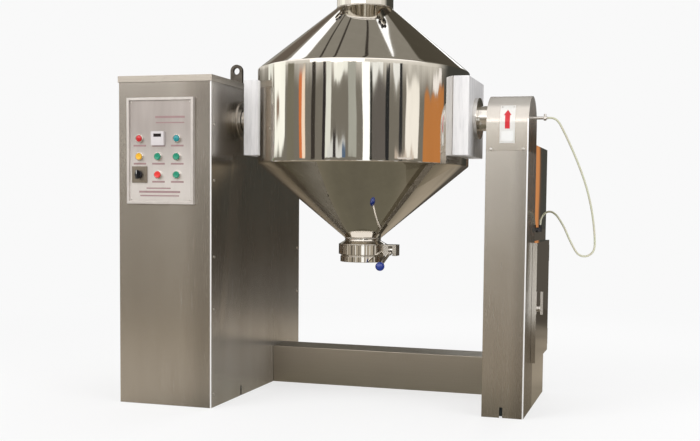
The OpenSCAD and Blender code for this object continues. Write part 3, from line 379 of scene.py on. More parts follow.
def makeRoom(s):
    # metal sees a work room by direction; eyes see a white backdrop; everything else is lit by one plain tone
    world = bpy.data.worlds.new("room")
    bpy.context.scene.world = world
    book = Book(world)
    way = book.node("ShaderNodeTexCoord").pick("Generated")
    x = book.node("ShaderNodeSeparateXYZ", {}, {0: way})
    y, z = x.pick("Y"), x.pick("Z")
    degrees = 180 / math.pi

    def uneven(scale, detail, rough):                   # a slow wobble on both sides of zero
        sockets = {"Vector": way, "Scale": scale, "Detail": detail, "Roughness": rough}
        return book.node("ShaderNodeTexNoise", {}, sockets) - 0.5

    sway = uneven(*s["sway"])
    height = z.math("ARCSINE") * degrees + uneven(*s["lift"]) * s["rise"]
    flat = (x * x + y * y).math("SQRT").most(1e-4)

    def lit(c, strength=1.0):                           # what the room must shine with for steel to show this colour
        return tuple(v * strength / s["metalShare"] for v in tone(*c)[:3]) + (1.0,)

    def facing(heading):                                # degrees between the direction's heading and this one
        a = math.radians(heading)
        swing = s["calmSwing"] if abs(heading) > s["calmFrom"] else s["swing"]
        level = ((x * math.sin(a) - y * math.cos(a)) / flat).least(1.0).most(-1.0)
        return level.math("ARCCOSINE") * degrees + sway * swing

    colour = book.blend(height.ramp(*s["wallTop"]), lit(s["wall"]), lit(s["upperWall"]))
    colour = book.blend(facing(s["rearHeading"]).ramp(*s["rearReach"]), colour, lit(s["rear"]))
    # the roof is a level sheet, so its ribs run in x over z
    across = x / z.most(s["lowest"])
    first, second, third = [(across - place).size() for place in s["ribs"]]
    roof = book.blend(first.least(second).least(third).ramp(*s["ribEdge"]), lit(s["roof"]), lit(s["rib"]))
    colour = book.blend(height.ramp(*s["roofStart"]), colour, roof)
    for heading, half, low, high, soft, shade, strength in s["cards"]:
        side = facing(heading).ramp(half + soft / 2, half - soft / 2)
        rise = height.ramp(low - soft / 2, low + soft / 2) * height.ramp(high + soft / 2, high - soft / 2)
        colour = book.blend(side * rise, colour, lit(shade, strength))
    path = book.node("ShaderNodeLightPath")
    glossy, eye = path.pick("Is Glossy Ray"), path.pick("Is Camera Ray")
    colour = book.blend(glossy, grey(s["plain"]), colour)
    colour = book.blend(eye.most(path.pick("Is Transmission Ray")), colour, grey(s["behind"]))
    sheet = book.node("ShaderNodeBackground", {}, {"Color": colour, "Strength": 1.0})
    book.node("ShaderNodeOutputWorld", {}, {"Surface": sheet})
    world.cycles.sampling_method = "NONE"


floorSet = {
    "half": 25.0, "cells": 8, "drop": 0.0005, "hub": (0.08, -0.08),
    "white": 0.947, "pale": 0.93, "shadow": 0.30, "shadowFade": (3.6, 1.4), "metalGain": 1.25,
    "under": (104, 99, 84), "near": (158, 147, 130), "far": (176, 166, 150), "rear": (78, 73, 66),
    "shade": (66, 60, 52), "bright": (250, 248, 244), "gleam": (1.1, 1.1, 1.08, 1),
    "nearFrom": (0.30, 1.05), "farFrom": (1.6, 4.0), "rearFrom": (1.6, 2.6),
    "spots": (1.7, (1, 1, 1), 4), "spotEdge": (0.45, 0.75), "spotShare": 0.3,
    "stripes": 8.0, "stripeFrom": (2.0, 3.4), "stripeShare": 0.85,
    "darkStripe": (0.53, 0.57), "brightStripe": (0.42, 0.38), "brightSide": (0.5, -0.5),
    "gleamSlope": 0.34, "gleamWidth": (0.17, 0.07), "gleamFrom": (-1.8, -3.2),
    "sideFrom": (0.45, 1.3), "sideTo": (3.2, 2.0), "sideShare": 0.75, "clear": 0.1,    # clear keeps divisors from 0
}


def makeFloor(s):
    # white to the eye with a soft shadow; metal sees a painted shadow under the machine that pales away from it, a
    # darker floor behind it, and a paler one in front
    n = s["cells"] + 1
    g = np.linspace(-s["half"], s["half"], n)
    px, py = np.meshgrid(g, g, indexing="ij")
    points = np.stack([px, py, np.full_like(px, -s["drop"])], -1).reshape(-1, 3)
    material = bpy.data.materials.new("paleFloor")
    book = Book(material)
    x, y = book.parts()[:2]
    dx, dy = x - s["hub"][0], y - s["hub"][1]
    away = (dx * dx + dy * dy).math("SQRT")
    # the under tone is a painted shadow beneath the machine, seen only by metal
    seen = book.blend(away.ramp(*s["nearFrom"]), tone(*s["under"]), tone(*s["near"]))
    seen = book.blend(away.ramp(*s["farFrom"]), seen, tone(*s["far"]))
    spots = book.noise(*s["spots"]).ramp(*s["spotEdge"])
    seen = book.blend(spots * s["spotShare"], seen, tone(*s["rear"]))
    seen = book.blend(y.ramp(*s["rearFrom"]), seen, tone(*s["rear"]))
    # far off, dark and bright things stand round the floor: their noise runs in the bearing alone
    reach = away.most(s["clear"])
    bearing = book.node("ShaderNodeCombineXYZ", {}, {0: x / reach * s["stripes"], 1: y / reach * s["stripes"]})
    stripe = book.node("ShaderNodeTexNoise", {}, {"Vector": bearing, "Scale": 1.0, "Detail": 2.0})
    distant = away.ramp(*s["stripeFrom"]) * s["stripeShare"]
    seen = book.blend(stripe.ramp(*s["darkStripe"]) * distant, seen, tone(*s["shade"]))
    ahead = distant * y.ramp(*s["brightSide"])
    seen = book.blend(stripe.ramp(*s["brightStripe"]) * ahead, seen, tone(*s["bright"]))
    gleam = (x / y.least(-s["clear"]) + s["gleamSlope"]).size().ramp(*s["gleamWidth"]) * y.ramp(*s["gleamFrom"])
    seen = book.blend(gleam, seen, s["gleam"])
    beside = x.ramp(*s["sideFrom"]) * away.ramp(*s["sideTo"])
    seen = book.blend(beside * s["sideShare"], seen, tone(*s["shade"]))
    diffuse = book.node("ShaderNodeBsdfDiffuse", {}, {"Color": grey(s["pale"])})
    white = book.node("ShaderNodeEmission", {}, {"Color": grey(s["white"]), "Strength": 1.0})
    metal = book.node("ShaderNodeEmission", {}, {"Color": seen, "Strength": s["metalGain"]})
    path = book.node("ShaderNodeLightPath")
    toEye = book.node("ShaderNodeMixShader", {}, {0: away.ramp(*s["shadowFade"]) * s["shadow"], 1: white, 2: diffuse})
    rest = book.node("ShaderNodeMixShader", {}, {0: path.pick("Is Glossy Ray"), 1: diffuse, 2: metal})
    sheet = book.node("ShaderNodeMixShader", {}, {0: path.pick("Is Camera Ray"), 1: rest, 2: toEye})
    book.node("ShaderNodeOutputMaterial", {}, {"Surface": sheet})
    material.cycles.emission_sampling = "NONE"
    floor = makeMesh("floorSheet", points, gridFaces(n, n), material="paleFloor")


lampSet = [
    {"name": "keySheet", "place": (-2.6, -3.2, 3.6), "aim": (0, 0, 0.7), "size": 2.6, "watts": 95},
    {"name": "fillSheet", "place": (3.4, -1.6, 2.6), "aim": (0, 0, 0.7), "size": 2.4, "watts": 45},
    {"name": "rearSheet", "place": (0.6, 3.4, 3.2), "aim": (0, 0, 0.8), "size": 2.4, "watts": 45},
]


def makeLamps(lamps):                                   # soft square lamps, each looking at its aim
    for s in lamps:
        data = bpy.data.lights.new(s["name"], "AREA")
        data.shape, data.size, data.energy = "SQUARE", s["size"], s["watts"]
        obj = bpy.data.objects.new(s["name"], data)
        place, aim = np.array(s["place"]), np.array(s["aim"])
        z = (place - aim) / np.linalg.norm(place - aim)
        x = np.cross([0, 0, 1], z)
        x /= np.linalg.norm(x)
        obj.matrix_world = axesAt(x, np.cross(z, x), z, place)
        obj.visible_glossy = False
        bpy.context.scene.collection.objects.link(obj)


makeRoom(roomSet)
makeFloor(floorSet)
makeLamps(lampSet)
print("room, floor and lamps are set")


# finishes
# a noise is its scale, its stretch along x, y and z, its detail and its roughness;
# a finish is full metal unless its constants say otherwise
everyWay, nowhere = (1, 1, 1), (9, 10, 0)               # nowhere: a span past the machine, without strength
grainedSet = {
    "mirrorSteel": {    # buffing haze that runs up the sheet, and a faint roll
        "noises": {"haze": (26, (1, 1, 0.12), 4, 0.6), "roll": (3.1, (1, 1, 0.35), 2, 0.4),
                   "fine": (240, (1, 1, 0.08), 2)},
        "rough": {"haze": 0.05}, "least": 0.015, "share": {"haze": 1}, "tones": ((232, 229, 224), (214, 211, 205)),
        "relief": {"roll": 1.0, "fine": 0.004}, "bump": (0.004, 0.6)},
    "polishedSheet": {    # bright rolled sheet, hardly any haze
        "noises": {"haze": (30, (1, 1, 0.12), 3, 0.6)},
        "rough": {"haze": 0.02}, "least": 0.004, "share": {"haze": 1}, "tones": ((230, 227, 222), (214, 211, 205))},
    "levelSteel": {    # brushed lines laid along x, for beams
        "noises": {"line": (520, (0.012, 1, 1), 3, 0.7), "cloud": (4.2, (0.3, 1, 1), 3, 0.5)},
        "rough": {"line": 0.12, "cloud": 0.08}, "least": 0.20, "share": {"line": 0.5, "cloud": 0.5},
        "tones": ((204, 198, 189), (180, 173, 164)), "relief": {"line": 1}, "bump": (0.0002, 0.7)},
    "blastedSteel": {    # bead blasted plate, matt and pale, scuffed in streaks
        "constants": {"Metallic": 0.35},
        "noises": {"grain": (1400, everyWay, 2, 0.6), "cloud": (16, (1, 1, 0.3), 3, 0.5),
                   "scuff": (46, (1, 1, 0.10), 4, 0.65)},
        "edges": {"scuff": (0.38, 0.74)}, "rough": {"grain": 0.10, "cloud": 0.08}, "least": 0.42,
        "share": {"scuff": 0.6}, "tones": ((246, 246, 248), (196, 197, 201)), "relief": {"grain": 1},
        "bump": (0.0001, 0.5)},
    "satinSteel": {    # fine grain that runs up the piece
        "noises": {"grain": (900, (1, 1, 0.05), 2, 0.6), "cloud": (11, everyWay, 3, 0.5)},
        "rough": {"grain": 0.10, "cloud": 0.08}, "least": 0.30, "share": {"cloud": 1},
        "tones": ((226, 224, 222), (208, 206, 203)), "relief": {"grain": 1}, "bump": (0.00012, 0.6)},
    "turnedSteel": {    # machined: faint rings come from fine level lines
        "noises": {"line": (700, (0.02, 0.02, 1), 2, 0.6), "cloud": (18, everyWay, 3, 0.5)},
        "rough": {"cloud": 0.10}, "least": 0.12, "share": {"cloud": 1},
        "tones": ((232, 230, 226), (206, 203, 198)), "relief": {"line": 1}, "bump": (0.00002, 0.4)},
    "castPaint": {    # cast and painted: orange peel and dust in patches
        "constants": {"Specular IOR Level": 0.4},
        "noises": {"peel": (420, everyWay, 3, 0.6), "cloud": (14, everyWay, 4, 0.6)},
        "rough": {"cloud": 0.25}, "least": 0.38, "share": {"cloud": 1},
        "tones": ((92, 104, 108), (74, 84, 88)), "relief": {"peel": 1}, "bump": (0.0004, 0.5)},
    "oiledSteel": {    # dark steel with an uneven film of oil
        "noises": {"cloud": (60, everyWay, 4, 0.6)},
        "rough": {"cloud": 0.3}, "least": 0.25, "share": {"cloud": 1},
        "tones": ((112, 108, 102), (70, 66, 61)), "relief": {"cloud": 1}, "bump": (0.0004, 0.4)},
    "plateMetal": {    # anodised plate brushed up and down, darker at its top: a painted reflection pales it towards its foot
        "constants": {"Metallic": 0.78},
        "noises": {"line": (800, (1, 1, 0.02), 3, 0.6), "cloud": (24, (1, 1, 0.15), 3, 0.6)},
        "foot": (0.98, 0.74), "rough": {"line": 0.12}, "least": 0.26, "share": {"foot": 0.75, "cloud": 0.4},
        "tones": ((166, 158, 155), (246, 242, 240)), "relief": {"line": 1}, "bump": (0.0001, 0.5)},
}
grainedSet["lidSteel"] = dict(grainedSet["levelSteel"], constants={"Metallic": 0.72})
grainedSet["chromeRing"] = grainedSet["turnedSteel"]
grainedSet["screwSteel"] = grainedSet["satinSteel"]


def grained(s):
    # roughness, the share of the second tone and the relief are each a sum of the noises times their weights
    def varied(book):
        waves = {name: book.noise(*noise) for name, noise in s["noises"].items()}
        for name, edge in s.get("edges", {}).items():
            waves[name] = waves[name].ramp(*edge)
        # foot paints a reflection that pales the plate towards its foot
        if "foot" in s:                                 # 0 at the first height, 1 at the second
            waves["foot"] = book.parts()[2].ramp(*s["foot"])

        def total(weights, least=0.0):
            return sum((waves[name] * weight for name, weight in weights.items()), least)

        first, second = s["tones"]
        found = {"Roughness": total(s["rough"], s["least"]),
                 "Base Color": book.blend(total(s["share"]), tone(*first), tone(*second))}
        if "relief" in s:
            found["Normal"] = book.bump(total(s["relief"]), *s["bump"])
        return found
    return varied


brushedSet = {                                          # fine lines that run up the sheet, in wide soft bands
    "line": (520, (1, 1, 0.012), 3, 0.7), "band": (13, (1, 1, 0.03), 2, 0.5), "cloud": (4.2, (1, 1, 0.5), 3, 0.5),
    "lineShare": 0.34, "bandShare": 0.20, "cloudShare": 0.46, "spread": (0.28, 0.72),
    # the last two tones are a painted shade and a painted corner highlight
    "light": (214, 210, 204), "dark": (186, 180, 172), "paintedShade": (84, 76, 68), "edgeHighlight": (252, 252, 252),
    "lipHalf": (0.0036, 0.0022), "lipDepth": (0.0014, 0.0005), "lipGlow": 0.65, "mostGlow": 0.9,
    "lineRough": 0.12, "cloudRough": 0.06, "least": 0.16, "bump": (0.00022, 0.7),
}
# side darkens from x to x and shade from z to z, both painted shade, and glow lets the lamps show from z to z, each
# with its strength;
# lip and front are the x and y of a corner painted with a bright highlight
brushedSheets = {
    "brushedSteel": {},
    "frontSteel": {"side": (-0.50, -0.39, 0.30), "shade": (0.85, 1.08, 0.30), "glow": (0.30, 0.05, 0.10),
                   "lip": -0.374, "front": -0.3425},
    "innerSteel": {"shade": (0.98, 1.10, 0.10), "glow": (0.60, 0.10, 0.24)},
    "columnSteel": {"side": (0.618, 0.664, 0.30), "shade": (0.6, 0.2, 0.06), "glow": (0.45, 0.88, 0.18),
                    "lip": 0.6752, "front": -0.1785},
    "capSteel": {"side": (0.6766, 0.6772, 0.55), "glow": (0.92, 1.05, 0.55), "lip": 0.6752, "front": -0.1785},
}


def brushed(s, side=nowhere, shade=nowhere, glow=nowhere, lip=nowhere[0], front=0.0):
    # the noises, summed and spread, run from the light tone to the dark one; painted shade and a painted corner
    # highlight lie over them
    def varied(book):
        x, y, z = book.parts()
        line, band, cloud = book.noise(*s["line"]), book.noise(*s["band"]), book.noise(*s["cloud"])
        grade = line * s["lineShare"] + band * s["bandShare"] + cloud * s["cloudShare"]
        ends = [front + depth for depth in s["lipDepth"]]
        # a painted highlight along the corner at lip and front
        edge = (x - lip).size().ramp(*s["lipHalf"]) * y.ramp(*ends)
        # painted shade: darker past x on one side and towards one height
        paintedShade = x.ramp(*side[:2]) * side[2] + z.ramp(*shade[:2]) * shade[2]
        base = book.blend(grade.ramp(*s["spread"]), tone(*s["light"]), tone(*s["dark"]))
        base = book.blend(edge, book.blend(paintedShade, base, tone(*s["paintedShade"])), tone(*s["edgeHighlight"]))
        shine = z.ramp(*glow[:2]) * glow[2] + edge * s["lipGlow"]
        return {"Roughness": line * s["lineRough"] + cloud * s["cloudRough"] + s["least"], "Base Color": base,
                "Metallic": 1.0 - shine.least(s["mostGlow"]), "Normal": book.bump(line, *s["bump"])}
    return varied


# plastic, rubber, paint and ink: constants, two tones, least roughness and, where it differs, the grain's depth
mouldedSet = {
    "framePaint": ({"Metallic": 0.5}, (222, 217, 212), (200, 194, 190), 0.30),
    "blackPlastic": ({"Specular IOR Level": 0.5}, (34, 34, 40), (24, 24, 28), 0.28),
    "switchTile": ({"Metallic": 0.9}, (158, 150, 138), (132, 124, 113), 0.30),
    "ivoryPlastic": ({}, (214, 208, 208), (200, 194, 194), 0.34),
    "darkGlass": ({"Coat Weight": 1.0, "Coat Roughness": 0.04}, (26, 16, 22), (18, 12, 16), 0.10, 0.00001),
    "redLens": ({"Coat Weight": 0.8, "Coat Roughness": 0.08}, (214, 22, 34), (178, 12, 26), 0.18, 0.00003),
    "tealLens": ({"Coat Weight": 0.8, "Coat Roughness": 0.08}, (0, 152, 158), (0, 126, 134), 0.18, 0.00003),
    "yellowCap": ({"Coat Weight": 0.4}, (240, 184, 40), (226, 166, 30), 0.26),
    "greenCap": ({"Coat Weight": 0.4}, (24, 148, 116), (14, 128, 100), 0.26),
    "redCap": ({"Coat Weight": 0.4}, (232, 58, 52), (214, 40, 40), 0.26),
    "blueBall": ({"Coat Weight": 1.0, "Coat Roughness": 0.05}, (20, 58, 150), (12, 44, 128), 0.18, 0.00003),
    "whiteRubber": ({}, (226, 224, 218), (208, 206, 200), 0.55, 0.0002),
    "hoseSkin": ({"Coat Weight": 0.5, "Coat Roughness": 0.2, "Subsurface Weight": 0.12,
                  "Subsurface Radius": (0.004, 0.004, 0.003)}, (198, 208, 176), (214, 202, 186), 0.30),
    "signWhite": ({"Metallic": 0.5}, (232, 232, 230), (216, 216, 214), 0.30),
    "arrowInk": ({"Coat Weight": 0.3}, (214, 34, 48), (190, 24, 38), 0.36),
    "whiteInk": ({}, (240, 240, 238), (228, 228, 226), 0.4),
    "stripInk": ({"Metallic": 0.3}, (176, 146, 146), (150, 124, 126), 0.4),
}


def moulded(first, second, least, depth=0.00008):       # a fine grain and a slight shift of tone
    return grained({"noises": {"grain": (1500, everyWay, 2, 0.6), "cloud": (45, everyWay, 3, 0.5)},
                    "rough": {"cloud": 0.12}, "least": least, "share": {"cloud": 1}, "tones": (first, second),
                    "relief": {"grain": 1}, "bump": (depth, 0.5)})


def makeFinishes():
    for name, s in grainedSet.items():
        finish(name, s.get("constants", {"Metallic": 1.0}), grained(s))
    for name, places in brushedSheets.items():
        finish(name, {}, brushed(brushedSet, **places))
    for name, (constants, *look) in mouldedSet.items():
        finish(name, constants, moulded(*look))


makeFinishes()
print("finishes are mixed")


# air hose
hoseSet = {
    "diameter": 0.007, "sides": 14, "steps": 8,
    "points": [                                         # millimetres from the foot of the drum's centre line
        (642, 0, 1000), (652, 0, 1000), (663.5, 1.5, 998), (674, 4.5, 991.5), (682, 8, 981.5),
        (692.5, 13, 962), (712, 23, 922), (735, 34, 870), (757, 46, 814), (775, 58, 757),
        (788, 69, 700), (796, 76.5, 648), (800, 80, 608), (801, 81, 588), (801, 80.5, 572),
        (797.5, 79.5, 557), (788.5, 78, 545.5), (775.5, 76, 538.5), (761, 73.5, 538), (748, 70.5, 544),
        (738, 67.5, 555.5), (728, 65.5, 573), (716, 66, 596), (697, 77, 634), (674, 98, 667),
        (660, 112, 680), (646, 127.5, 686.5), (631, 141, 686), (618, 151, 678), (609, 157, 666),
        (605, 159.5, 653.5), (604, 160, 640),
    ],
}


def hoseRoute(points, steps):
    # between two points: half the cubic that leaves each point along the line between its neighbours
    p = np.asarray(points, float)
    out = [p[:1]]
    t = np.linspace(0, 1, steps, endpoint=False)[:, None]
    for i in range(1, len(p) - 2):
        a, b, c, d = p[i - 1], p[i], p[i + 1], p[i + 2]
        out.append(0.5 * (2 * b + (c - a) * t + (2 * a - 5 * b + 4 * c - d) * t ** 2
                          + (3 * b - a - 3 * c + d) * t ** 3))
    out.append(p[-2:])
    return np.concatenate(out) / 1000 + middle          # millimetres to metres


def makeHose(s):
    route = hoseRoute(s["points"], s["steps"])
    hose = tube("airHose", route, s["diameter"] / 2, s["sides"], body="frame", stands=("air_hose",),
                material="hoseSkin", smooth=70)


makeHose(hoseSet)


# drum
drumSet = {
    "radius": 0.368, "wall": 0.004, "low": 0.840, "high": 1.160, "topRadius": 0.0975, "top": 1.382,
    "bottomRadius": 0.063, "bottom": 0.586, "fold": 0.006, "foldSteps": 8, "segments": 512, "step": 0.012,
    # a wave is its number round the drum, its climb, its start, its share and how far it is bent
    "depth": 0.00030, "waves": ((5, 0, 1.3, 1, 2), (9, 16, 0.4, 0.7, 0), (14, -11, 0, 0.5, 0)), "bend": 9,
    # width of each node's rounded edges, under its finish
    "soft": {"blastedSteel": {"saddles": 0.0022}, "mirrorSteel": {"charging_collar": 0.0012},
             "turnedSteel": {"trunnion_left": 0.0012, "trunnion_right": 0.0012, "lever_guard": 0.0008}},
}


def divided(line, step):                                # extra points, evenly, wherever a side is longer than the step
    out = [line[0]]
    for a, b in zip(line, line[1:]):
        n = max(1, int(math.ceil(np.linalg.norm(np.subtract(b, a)) / step)))
        out.extend(np.asarray(a) + (np.asarray(b) - a) * t for t in np.linspace(0, 1, n + 1)[1:])
    return np.array(out)


def walled(line, wall):                                 # the line and, a wall further in, the same line back
    p = np.asarray(line, float)
    way = np.gradient(p, axis=0)
    way /= np.linalg.norm(way, axis=1)[:, None]
    inner = p + np.stack([-way[:, 1], way[:, 0]], 1) * wall
    return np.concatenate([p, inner[::-1]])


def makeDrum(s):
    # one folded line from the bottom to the top, cut in the middle of its two folds, each part walled and turned
    steps = s["foldSteps"]
    folds = rounded([(s["bottomRadius"], s["bottom"]), (s["radius"], s["low"]), (s["radius"], s["high"]),
                     (s["topRadius"], s["top"])], (s["fold"], s["fold"]), steps)
    first = 1 + steps // 2
    second = first + steps + 1
    most = sum(share for turns, climb, start, share, bent in s["waves"])

    def wave(a, z):                                     # slow waves round and up the sheet, always inward
        v = sum(share * np.sin(turns * a + climb * z + start + bent * np.sin(s["bend"] * z))
                for turns, climb, start, share, bent in s["waves"])
        return s["depth"] * (most + v) / most

    for name, node, part in (("lowerConeSheet", "lower_cone", folds[:first + 1]),
                             ("bandSheet", "drum_band", folds[first:second + 1]),
                             ("upperConeSheet", "upper_cone", folds[second:])):
        turned(name, walled(divided(part, s["step"]), s["wall"]), middle, segments=s["segments"], closed=True,
               wave=wave, body="drum", stands=(node,), material="mirrorSteel", smooth=50)
    softenAll(s["soft"], 3)


makeDrum(drumSet)
print("drum is made")


# discharge
outletSet = {
    "neck": 0.063, "bore": 0.058, "top": 0.586, "flangeTop": 0.578, "slope": 0.561, "body": 0.085,
    "lipIn": 0.004, "lipHigh": 0.006, "edge": 0.0045, "rounds": (0, 0.006, 0.004, 0.001, 0.001), "steps": 5,
    "soft": {"polishedSheet": {"valve_body": 0.0015, "outlet_ferrule": 0.0015}},
}


def makeOutlet(s):                                      # the neck and its sloped flange, one turned line
    line = [(s["bore"], s["top"]), (s["neck"], s["top"]), (s["neck"], s["flangeTop"]),
            (s["body"] - s["lipIn"], s["slope"] + s["lipHigh"]), (s["body"], s["slope"] + s["edge"]),
            (s["body"], s["slope"]), (s["bore"], s["slope"])]
    turned("neckFlange", rounded(line, s["rounds"], s["steps"]), middle, closed=True, body="drum",
           stands=("discharge_neck",), material="polishedSheet")
    softenAll(s["soft"], 3)


makeOutlet(outletSet)
print("discharge is made")


# controls
def pointsOf(node):                                     # the corners of a node's mesh as one array
    mesh = nodes[node].data
    flat = np.empty(len(mesh.vertices) * 3)
    mesh.vertices.foreach_get("co", flat)
    return flat.reshape(-1, 3)


def spanOf(node):                                       # the near and far corner of a node's box
    points = pointsOf(node)
    return points.min(0), points.max(0)


def islandsOf(node):                                    # the loose solids of a node, as arrays of points
    # every point has its own label, and each triangle hands its lowest label to its corners until none changes
    mesh = nodes[node].data
    mesh.calc_loop_triangles()
    corners = np.empty(len(mesh.loop_triangles) * 3, dtype=np.int32)
    mesh.loop_triangles.foreach_get("vertices", corners)
    places, index = np.unique(np.round(pointsOf(node), 6), axis=0, return_inverse=True)
    index = index.ravel()[corners].reshape(-1, 3)
    label, before = np.arange(len(places)), None
    while before is None or (label != before).any():
        before = label
        label = before.copy()
        np.minimum.at(label, index.ravel(), np.repeat(before[index].min(1), 3))
        label = label[label]
    return [places[label == i] for i in np.unique(label)]


def plateOf(name, outline, y, thick, body, material):
    # a flat plate that faces the front: its outline in x and z at y, the same outline behind it, and a rim
    n = len(outline)
    points = [(x, y, z) for x, z in outline] + [(x, y + thick, z) for x, z in outline]
    faces = [list(range(n)), list(range(n, 2 * n))[::-1]]
    faces += [[i, (i + 1) % n, n + (i + 1) % n, n + i] for i in range(n)]
    makeMesh(name, points, faces, body=body, material=material, smooth=30)


def oblong(x, z, halfWide, halfHigh):                   # its four corners, from the lower left one round
    return [(x - halfWide, z - halfHigh), (x + halfWide, z - halfHigh),
            (x + halfWide, z + halfHigh), (x - halfWide, z + halfHigh)]


controlSet = {
    "caps": {"lamp_red": ("redLens", "dome"), "lamp_teal": ("tealLens", "dome"), "button_yellow": ("yellowCap", "dish"),
             "button_green_middle": ("greenCap", "dish"), "button_green_upper": ("greenCap", "dish"),
             "button_green_lower": ("greenCap", "dish"), "button_red": ("redCap", "dish")},
    # share of the radius, and metres behind the front
    "dome": ((0.0, 0.0), (0.34, 0.0002), (0.66, 0.0009), (0.86, 0.0019), (0.965, 0.0034), (1.0, 0.0056)),
    "dish": ((0.0, 0.0013), (0.4, 0.001118), (0.72, 0.00052), (0.84, 0.0), (0.93, 0.0001), (1.0, 0.0012)),
    "stand": 0.007, "bore": 0.0112, "ring": 0.0145, "thread": 0.013,
    "ringRounds": (0.0012, 0.0036, 0, 0), "ringSteps": 7,
    "windowShare": (0.61, 0.23), "windowLift": 0.01056, "windowDepth": 0.00095, "windowThick": 0.0007,
    "pointerHalf": (0.0009, 0.0060), "pointerDrop": 0.0070, "pointerProud": 0.0001, "pointerThick": 0.0002,
}


def makeControls(s):
    # a cap is a turned line from its front to its thread end, dished for a button and domed for a lamp
    for node, (material, shape) in s["caps"].items():
        low, high = spanOf(node)
        r = (high[0] - low[0]) / 2
        line = [(r * share, low[1] + back) for share, back in s[shape]] + [(r, high[1]), (0, high[1])]
        turned(node + "Cap", line, ((low[0] + high[0]) / 2, 0, (low[2] + high[2]) / 2), axis="y", segments=48,
               body=bodyOf[node], stands=(node,), material=material, smooth=50)
    # each bezel is one ring, its line walked from the thread to the front and back
    middles = [(part.min(0) + part.max(0)) / 2 for part in islandsOf("control_bezels")]
    places = sorted({(round(float(x), 3), round(float(z), 3)) for x, y, z in middles})
    low, high = spanOf("control_bezels")
    front, face, back = low[1], low[1] + s["stand"], high[1]
    ring = rounded([(s["bore"], back), (s["bore"], front), (s["ring"], front), (s["ring"], face), (s["thread"], face),
                    (s["thread"], back)], s["ringRounds"], s["ringSteps"])
    for i, (x, z) in enumerate(places):
        turned("bezelRing%d" % i, ring, (x, 0, z), axis="y", segments=64, closed=True, body=bodyOf["control_bezels"],
               stands=("control_bezels",), material="chromeRing", smooth=50)
    low, high = spanOf("speed_meter")
    half, x, z = (high[0] - low[0]) / 2, (low[0] + high[0]) / 2, (low[2] + high[2]) / 2 + s["windowLift"]
    plateOf("meterWindow", oblong(x, z, *[half * share for share in s["windowShare"]]), low[1] + s["windowDepth"],
            s["windowThick"], bodyOf["speed_meter"], "darkGlass")
    low, high = spanOf("switch_knob")
    plateOf("switchPointer", oblong((low[0] + high[0]) / 2, high[2] - s["pointerDrop"], *s["pointerHalf"]),
            low[1] - s["pointerProud"], s["pointerThick"], bodyOf["switch_knob"], "whiteInk")


makeControls(controlSet)

labelSet = {
    "half": (0.024, 0.0030), "drop": 0.0245, "face": -0.3508, "thick": 0.0004, "round": 0.001, "steps": 3,
    "columns": (-0.637, -0.566, -0.495), "rows": (0.9195, 0.858, 0.7965),
    "more": ((-0.522, 0.992, 0.056, 0.0036), (-0.522, 0.973, 0.054, 0.0022), (-0.566, 0.7500, 0.046, 0.0022),
             (-0.562, 0.7375, 0.078, 0.0034), (-0.562, 0.7245, 0.074, 0.0022)),
}


def makeLabels(s):                                      # blank strips with rounded corners, a row and column each
    spots = [(x, z - s["drop"]) + s["half"] for x in s["columns"] for z in s["rows"]]
    for i, (x, z, w, h) in enumerate(spots + list(s["more"])):
        corners, foot = oblong(x, z, w, h), (x, z - h)
        line = rounded([foot] + corners[1:] + corners[:1] + [foot], (s["round"],) * 4, s["steps"])
        plateOf("blankStrip%02d" % i, [tuple(p) for p in line[:-1]], s["face"], s["thick"], bodyOf["panel_plate"],
                "stripInk")


makeLabels(labelSet)
print("controls are made")


# screws
screwSet = {
    "slot": 0.13, "reach": 0.55, "sink": 0.30, "dome": 0.42, "rings": 14, "segments": 48,    # shares of radius, height
    "flatShare": 0.8, "frontSide": 0.1, "leftSide": -0.6,    # heads before this y look forward, past this x leftward
}


def makeScrews(s):
    # a head falls from its middle with the cube of the radius, and a cross is sunk where u or v is within the slot;
    # all of them are one mesh
    points, faces = [], []
    for part in islandsOf("cover_screws"):
        low, high = part.min(0), part.max(0)
        size, hub = high - low, (low + high) / 2
        flat = size.min() < s["flatShare"] * np.median(size)    # a flat head lies across its least size
        axis = int(np.argmin(size)) if flat else int(np.argmax(size))
        r = np.sort(size)[1 if flat else 0] / 2
        turnedBack = (axis == 1 and hub[1] < s["frontSide"]) or (axis == 0 and hub[0] < s["leftSide"])
        outward = -1.0 if turnedBack else 1.0
        thick = size[axis]
        t = np.linspace(0, 1, s["rings"])
        rad, a = t * r, np.linspace(0, 2 * np.pi, s["segments"], endpoint=False)
        rise = thick * (1 - s["dome"] * t ** 3)
        u, v = rad[:, None] * np.cos(a), rad[:, None] * np.sin(a)
        cross = (np.minimum(abs(u), abs(v)) < s["slot"] * r) & (rad[:, None] < s["reach"] * r)
        w = np.repeat(rise[:, None], len(a), 1) - cross * s["sink"] * thick
        # the last ring again, at height 0, is the skirt
        u, v, w = np.vstack([u, u[-1:]]), np.vstack([v, v[-1:]]), np.vstack([w, w[-1:] * 0])
        base = hub[axis] - outward * thick / 2
        grid = np.empty(u.shape + (3,))
        others = [i for i in range(3) if i != axis]
        grid[..., others[0]], grid[..., others[1]] = hub[others[0]] + u, hub[others[1]] + v
        grid[..., axis] = base + outward * w
        start, n = sum(len(p) for p in points), s["segments"]
        points.append(grid.reshape(-1, 3))
        rows = len(u)
        faces += [[start + i for i in face] for face in gridFaces(rows, n, False, True)]
        faces.append([start + (rows - 1) * n + i for i in range(n)])
    makeMesh("coverScrewHeads", np.vstack(points), faces, body=bodyOf["cover_screws"], stands=("cover_screws",),
             material="screwSteel", smooth=40)
    print(len(points), "screws are made")


makeScrews(screwSet)


# arrow on the direction plate
arrowSet = {
    "x": (0.5985, 0.6145), "head": (0.5940, 0.6190), "foot": 0.958, "neck": 1.002, "tip": 1.0205, "point": 0.0002,
    "centre": (-0.0825, 0.977), "radius": 0.0972, "thick": 0.0003, "rows": 24,
    "blank": (0.5865, 0.6265, 0.918, 0.950), "blankRows": 4,
}


